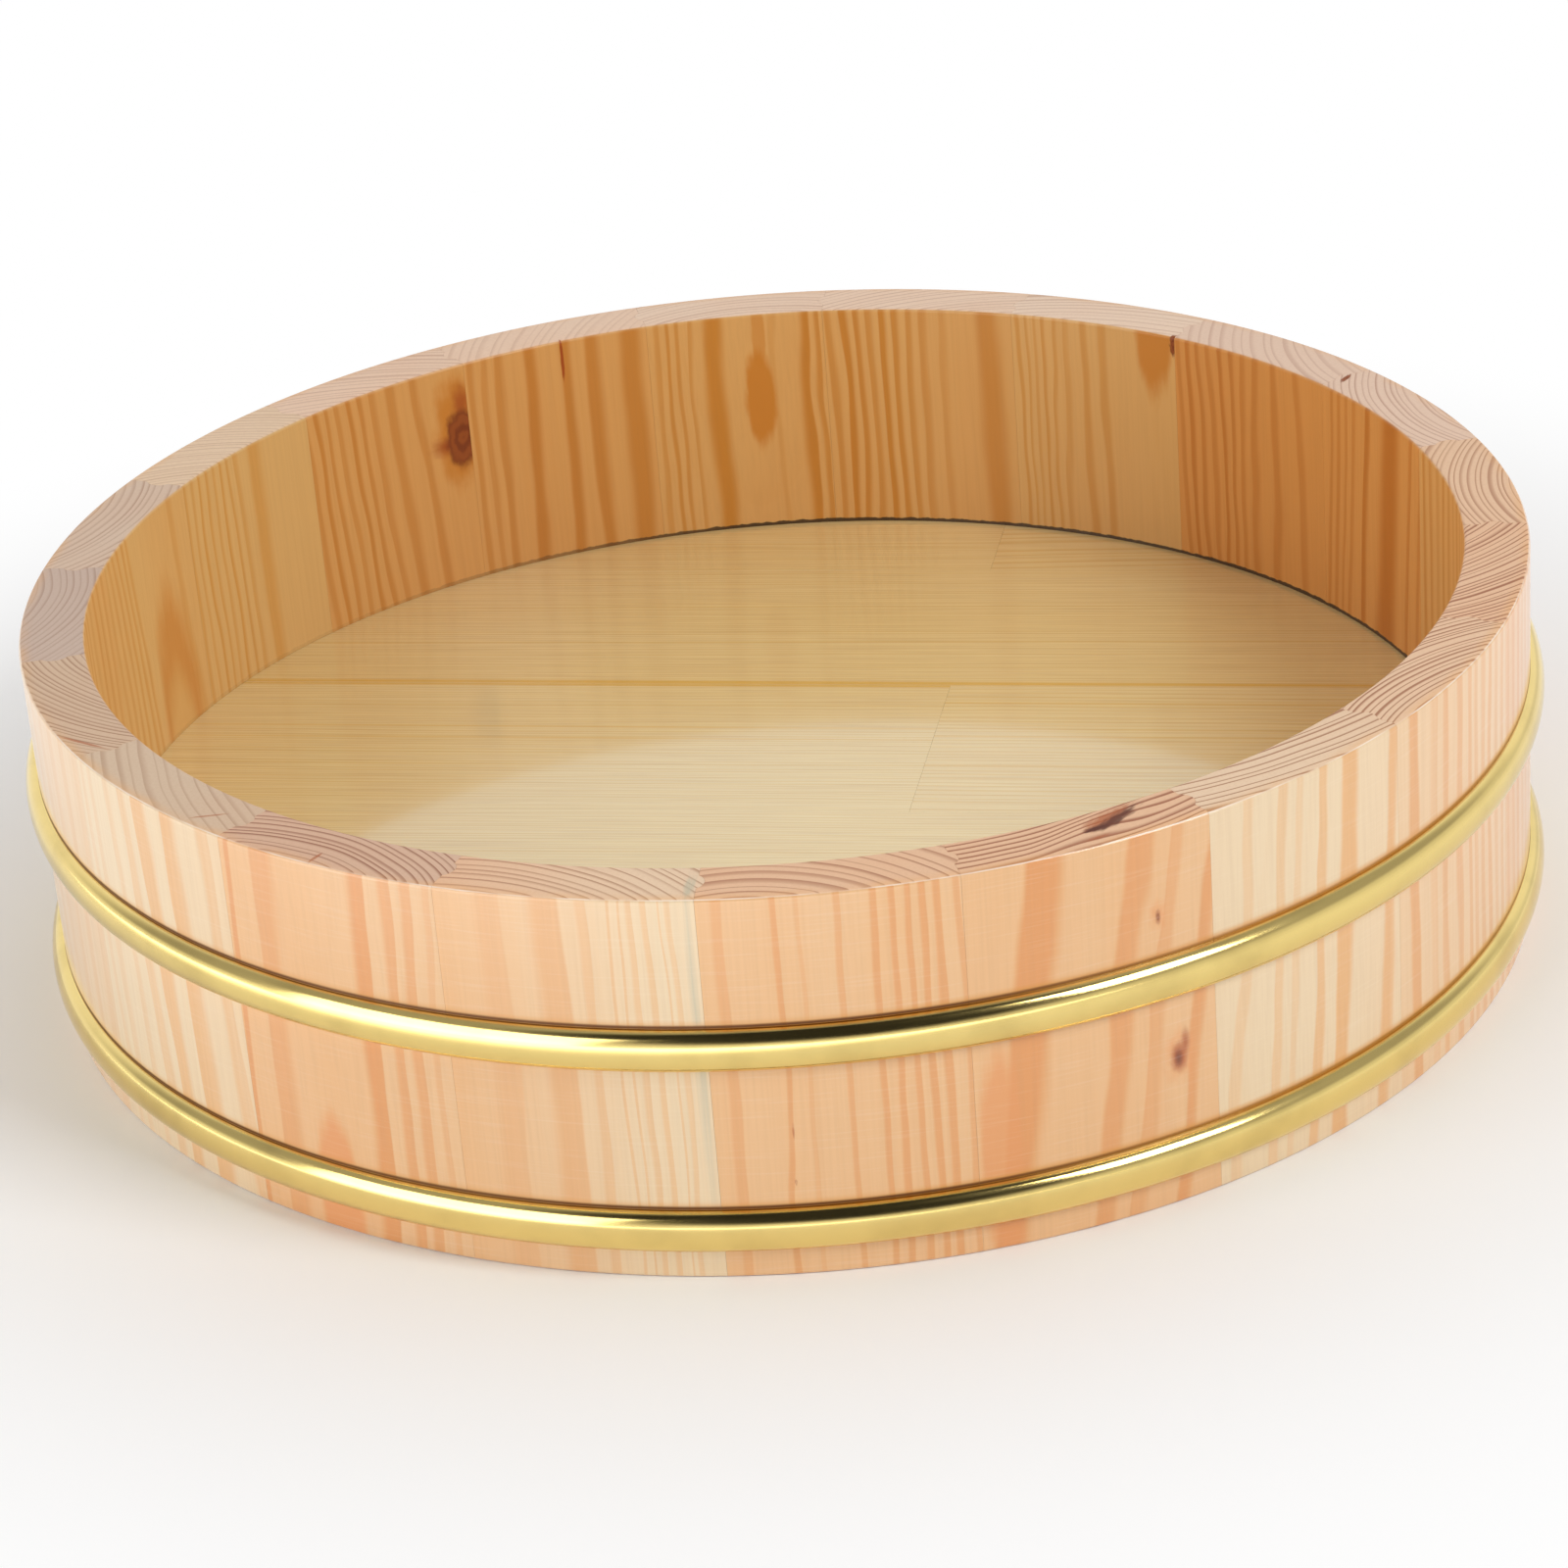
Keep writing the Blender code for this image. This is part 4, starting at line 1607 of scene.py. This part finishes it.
@dataclass
class Hoop:
    """A half-round hoop, rolled from strip, that stands proud of the wood over a small contact gap.

    A fullness below 1 makes its section fuller than a half oval.
    """

    node: str
    wall: Wall
    low: float
    high: float
    proud: float = 3.0 * MM
    sheet: float = 0.8 * MM
    contact: float = 0.05 * MM
    fullness: float = 0.95
    outer_steps: int = 28
    inner_steps: int = 14
    round_steps: int = 288
    finish: Brass = Brass()

    def section(self) -> list[Span]:
        """Closed section: half an oval outside, a smaller one inside, and two lips against the wood.

        Returns:
            Radius and height of each point.
        """
        centre = (self.low + self.high) / 2.0
        points = []
        for inset, steps, way in ((0.0, self.outer_steps, 1), (self.sheet, self.inner_steps, -1)):
            half, proud = (self.high - self.low) / 2.0 - inset, self.proud - inset
            arc = []
            for step in range(steps + 1):
                angle = math.pi / 2.0 - math.pi * step / steps
                up, out = math.sin(angle), max(math.cos(angle), 0.0)
                z = centre + half * math.copysign(abs(up) ** self.fullness, up)
                arc.append((self.wall.outer(z) + self.contact + proud * out ** self.fullness, z))
            points += arc[::way]
        return points

    def blank(self) -> Mesh:
        """Straight bar with the hoop's section, drawn along X from 0 to 1.

        Returns:
            The bar's mesh, with X along the bend, Y the radius and Z the height.
        """
        section = self.section()
        shape = bmesh.new()
        loops = []
        for step in range(self.round_steps + 1):
            loops.append([shape.verts.new((step / self.round_steps, radius, z)) for radius, z in section])
        join_loops(shape, loops)
        return kept(shape, bpy.data.meshes.new("hoop_blank"))

    def build(self, bender: RoundBender) -> None:
        """Make the hoop.

        Args:
            bender: The tree that bends the blank.
        """
        finish = self.finish.dress(f"{self.node}_polished_brass")
        no_tongue = (0.0, 0.0, 0.0)
        piece = bender.bend(f"{self.node}_brass", self.blank(), finish, 0.0, 2.0 * math.pi, *no_tongue)
        seat(piece, "hoop_brass", self.node)


@dataclass(frozen=True)
class Lamp:
    """Soft rectangular lamp: its name, its centre, its width and height, and its power in watts."""

    name: str
    place: Scale
    size: Span
    power: float

    def build(self, target: Vector) -> None:
        """Hang the lamp.

        Args:
            target: The point that it faces.
        """
        data = bpy.data.lights.new(self.name, "AREA")
        data.shape = "RECTANGLE"
        data.size, data.size_y = self.size
        data.energy = self.power
        lamp = bpy.data.objects.new(self.name, data)
        lamp.location = self.place
        lamp.rotation_euler = (target - lamp.location).to_track_quat("-Z", "Y").to_euler()
        bpy.context.scene.collection.objects.link(lamp)


@dataclass
class Studio:
    """Camera, lights and the pale ground.

    The camera turns about the middle of the rim: its angles are in degrees, its lens and sensor in
    millimetres. In the surroundings, a pair of numbers holds the parts of a direction between which a level
    changes: front and ceiling for the soft light; dark, side and horizon for fields that only the brass
    mirrors. On the ground it holds the distances between which the ground fades to white, or its mirror image
    dims or glows.
    """

    rim_height: float
    elevation: float = 23.186
    distance: float = 1174.5 * MM
    roll: float = 4.538
    aim_down: float = 2.443
    aim_left: float = 0.057
    lens: float = 122.78
    sensor: float = 36.0
    front: Span = (-0.35, 0.25)
    front_level: float = 0.15
    ceiling: Span = (0.5, 0.95)
    ceiling_level: float = 0.6
    dark_way: Scale = (0.08, -0.66, 0.75)
    dark_reach: Span = (0.72, 0.88)
    dark_level: float = 0.06
    side_reach: Span = (0.3, 0.75)
    side_lift: Span = (0.08, 0.3)
    side_level: float = 0.42
    horizon: Span = (0.10, 0.28)
    horizon_side: Span = (-0.05, 0.30)
    horizon_level: float = 0.8
    ground_reach: float = 6.0
    ground_corners: int = 96
    ground_colour: Colour = (0.93, 0.93, 0.93)
    shade_reach: Span = (0.165, 0.36)
    dim_reach: Span = (0.22, 0.7)
    dim_side: Span = (-0.1, 0.2)
    ground_dimming: float = 0.08
    glow_way: Scale = (-0.62, -0.78, 0.0)
    glow_reach: Span = (0.22, 0.5)
    glow_level: float = 2.2
    lamps: tuple[Lamp, ...] = (
        Lamp("left_lamp", (-1.4, -1.1, 0.6), (1.5, 1.2), 17.0),
        Lamp("right_lamp", (1.3, -1.0, 1.3), (0.8, 0.9), 22.0),
    )

    def camera(self) -> None:
        """Put the camera at the photograph's place, held with a slight roll."""
        rise = math.radians(self.elevation)
        stand = Vector((0.0, -math.cos(rise), math.sin(rise))) * self.distance
        ahead, right = -stand.normalized(), Vector((1.0, 0.0, 0.0))
        above = right.cross(ahead)
        aim = Matrix.Rotation(math.radians(-self.aim_down), 3, right)
        aim = aim @ Matrix.Rotation(math.radians(self.aim_left), 3, above)
        ahead, right, above = aim @ ahead, aim @ right, aim @ above
        roll = Matrix.Rotation(math.radians(self.roll), 3, ahead)
        basis = Matrix((roll @ right, roll @ above, -ahead)).transposed()
        data = bpy.data.cameras.new("camera")
        data.lens = self.lens
        data.sensor_width = self.sensor
        camera = bpy.data.objects.new("camera", data)
        place = Matrix.Translation(stand + Vector((0.0, 0.0, self.rim_height)))
        camera.matrix_world = place @ basis.to_4x4()
        bpy.context.scene.collection.objects.link(camera)
        bpy.context.scene.camera = camera

    def world(self) -> None:
        """Make white surroundings, with soft light from behind and dark fields that the brass mirrors."""
        world = bpy.data.worlds.new("studio")
        bpy.context.scene.world = world
        world.use_nodes = True
        graph = Graph(world.node_tree)
        shader = world.node_tree.nodes["Background"]
        shader.inputs["Color"].default_value = (*WHITE, 1.0)
        way = graph.node("ShaderNodeTexCoord").outputs["Generated"]
        across, back, up = graph.split(way)
        behind = graph.step(back, *self.front, self.front_level, 1.0)
        soft = graph.times(behind, graph.step(up, *self.ceiling, 1.0, self.ceiling_level))
        ahead = graph.vector("DOT_PRODUCT", way, Vector(self.dark_way).normalized(), output="Value")
        dark = graph.step(ahead, *self.dark_reach, 1.0, self.dark_level)
        beside = graph.times(graph.step(back, *self.side_reach, 1.0, 0.0), graph.step(up, *self.side_lift))
        dimmed = graph.times(beside, 1.0 - self.side_level)
        low = graph.step(up, *self.horizon, 1.0 - self.horizon_level, 0.0)
        low = graph.times(low, graph.step(across, *self.horizon_side))
        mirrored = graph.times(dark, graph.rest(dimmed), graph.rest(low))
        path = graph.node("ShaderNodeLightPath").outputs
        glossy = path["Is Glossy Ray"]
        level = graph.math("MAXIMUM", graph.times(glossy, mirrored), graph.times(graph.rest(glossy), soft))
        seen = graph.math("MAXIMUM", path["Is Camera Ray"], path["Is Transmission Ray"])
        graph.feed(shader.inputs["Strength"], graph.math("MAXIMUM", level, seen))

    def ground(self) -> None:
        """Lay the pale ground, which shows the tub's shadow and fades to white."""
        bpy.ops.mesh.primitive_circle_add(
            vertices=self.ground_corners, radius=self.ground_reach, fill_type="NGON"
        )
        ground = bpy.context.object
        ground.name = "ground"
        material, graph, shader = new_material("pale_ground")
        nodes = material.node_tree.nodes
        nodes.remove(shader)
        place = graph.node("ShaderNodeTexCoord").outputs["Object"]
        away = graph.vector("LENGTH", place, output="Value")
        lit = graph.vector("DOT_PRODUCT", place, self.glow_way, output="Value")
        glow = graph.step(lit, *self.glow_reach, 0.0, self.glow_level)
        beside = graph.step(graph.split(place)[0], *self.dim_side)
        dim = graph.times(graph.step(away, *self.dim_reach, 0.0, self.ground_dimming), beside)
        change = graph.math("SUBTRACT", glow, dim)
        glossy = graph.node("ShaderNodeLightPath").outputs["Is Glossy Ray"]
        matte = graph.node("ShaderNodeBsdfDiffuse", (*self.ground_colour, 1.0))
        white = graph.node("ShaderNodeEmission")
        graph.feed(white.inputs["Strength"], graph.math("MULTIPLY_ADD", change, glossy, 1.0))
        far = graph.step(away, *self.shade_reach)
        blend = graph.node("ShaderNodeMixShader", far, matte.outputs[0], white.outputs[0])
        graph.feed(nodes["Material Output"].inputs["Surface"], blend.outputs[0])
        ground.data.materials.append(material)

    def build(self) -> None:
        """Set everything up."""
        self.camera()
        self.world()
        self.ground()
        for lamp in self.lamps:
            lamp.build(Vector((0.0, 0.0, self.rim_height / 2.0)))
        bpy.context.scene.view_settings.view_transform = "Standard"


def main() -> None:
    """Build the tub piece by piece, then the studio."""
    logging.basicConfig(level=logging.INFO, format="%(message)s")
    GrowthRings().build()
    Spot().build()
    bender = RoundBender()
    hoops = {node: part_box(node) for node in ("upper_hoop", "lower_hoop")}
    floor_low, floor_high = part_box("floor_board_2")
    wall = Wall(CAD_BOX[1][2], tuple(high.z for _, high in hoops.values()), floor_high.z)
    wall.build(bender)
    Floor(top=floor_high.z, bottom=floor_low.z).build()
    for node, (low, high) in hoops.items():
        Hoop(node, wall, low.z, high.z).build(bender)
    Studio(rim_height=wall.height).build()


if __name__ == "__main__":
    main()
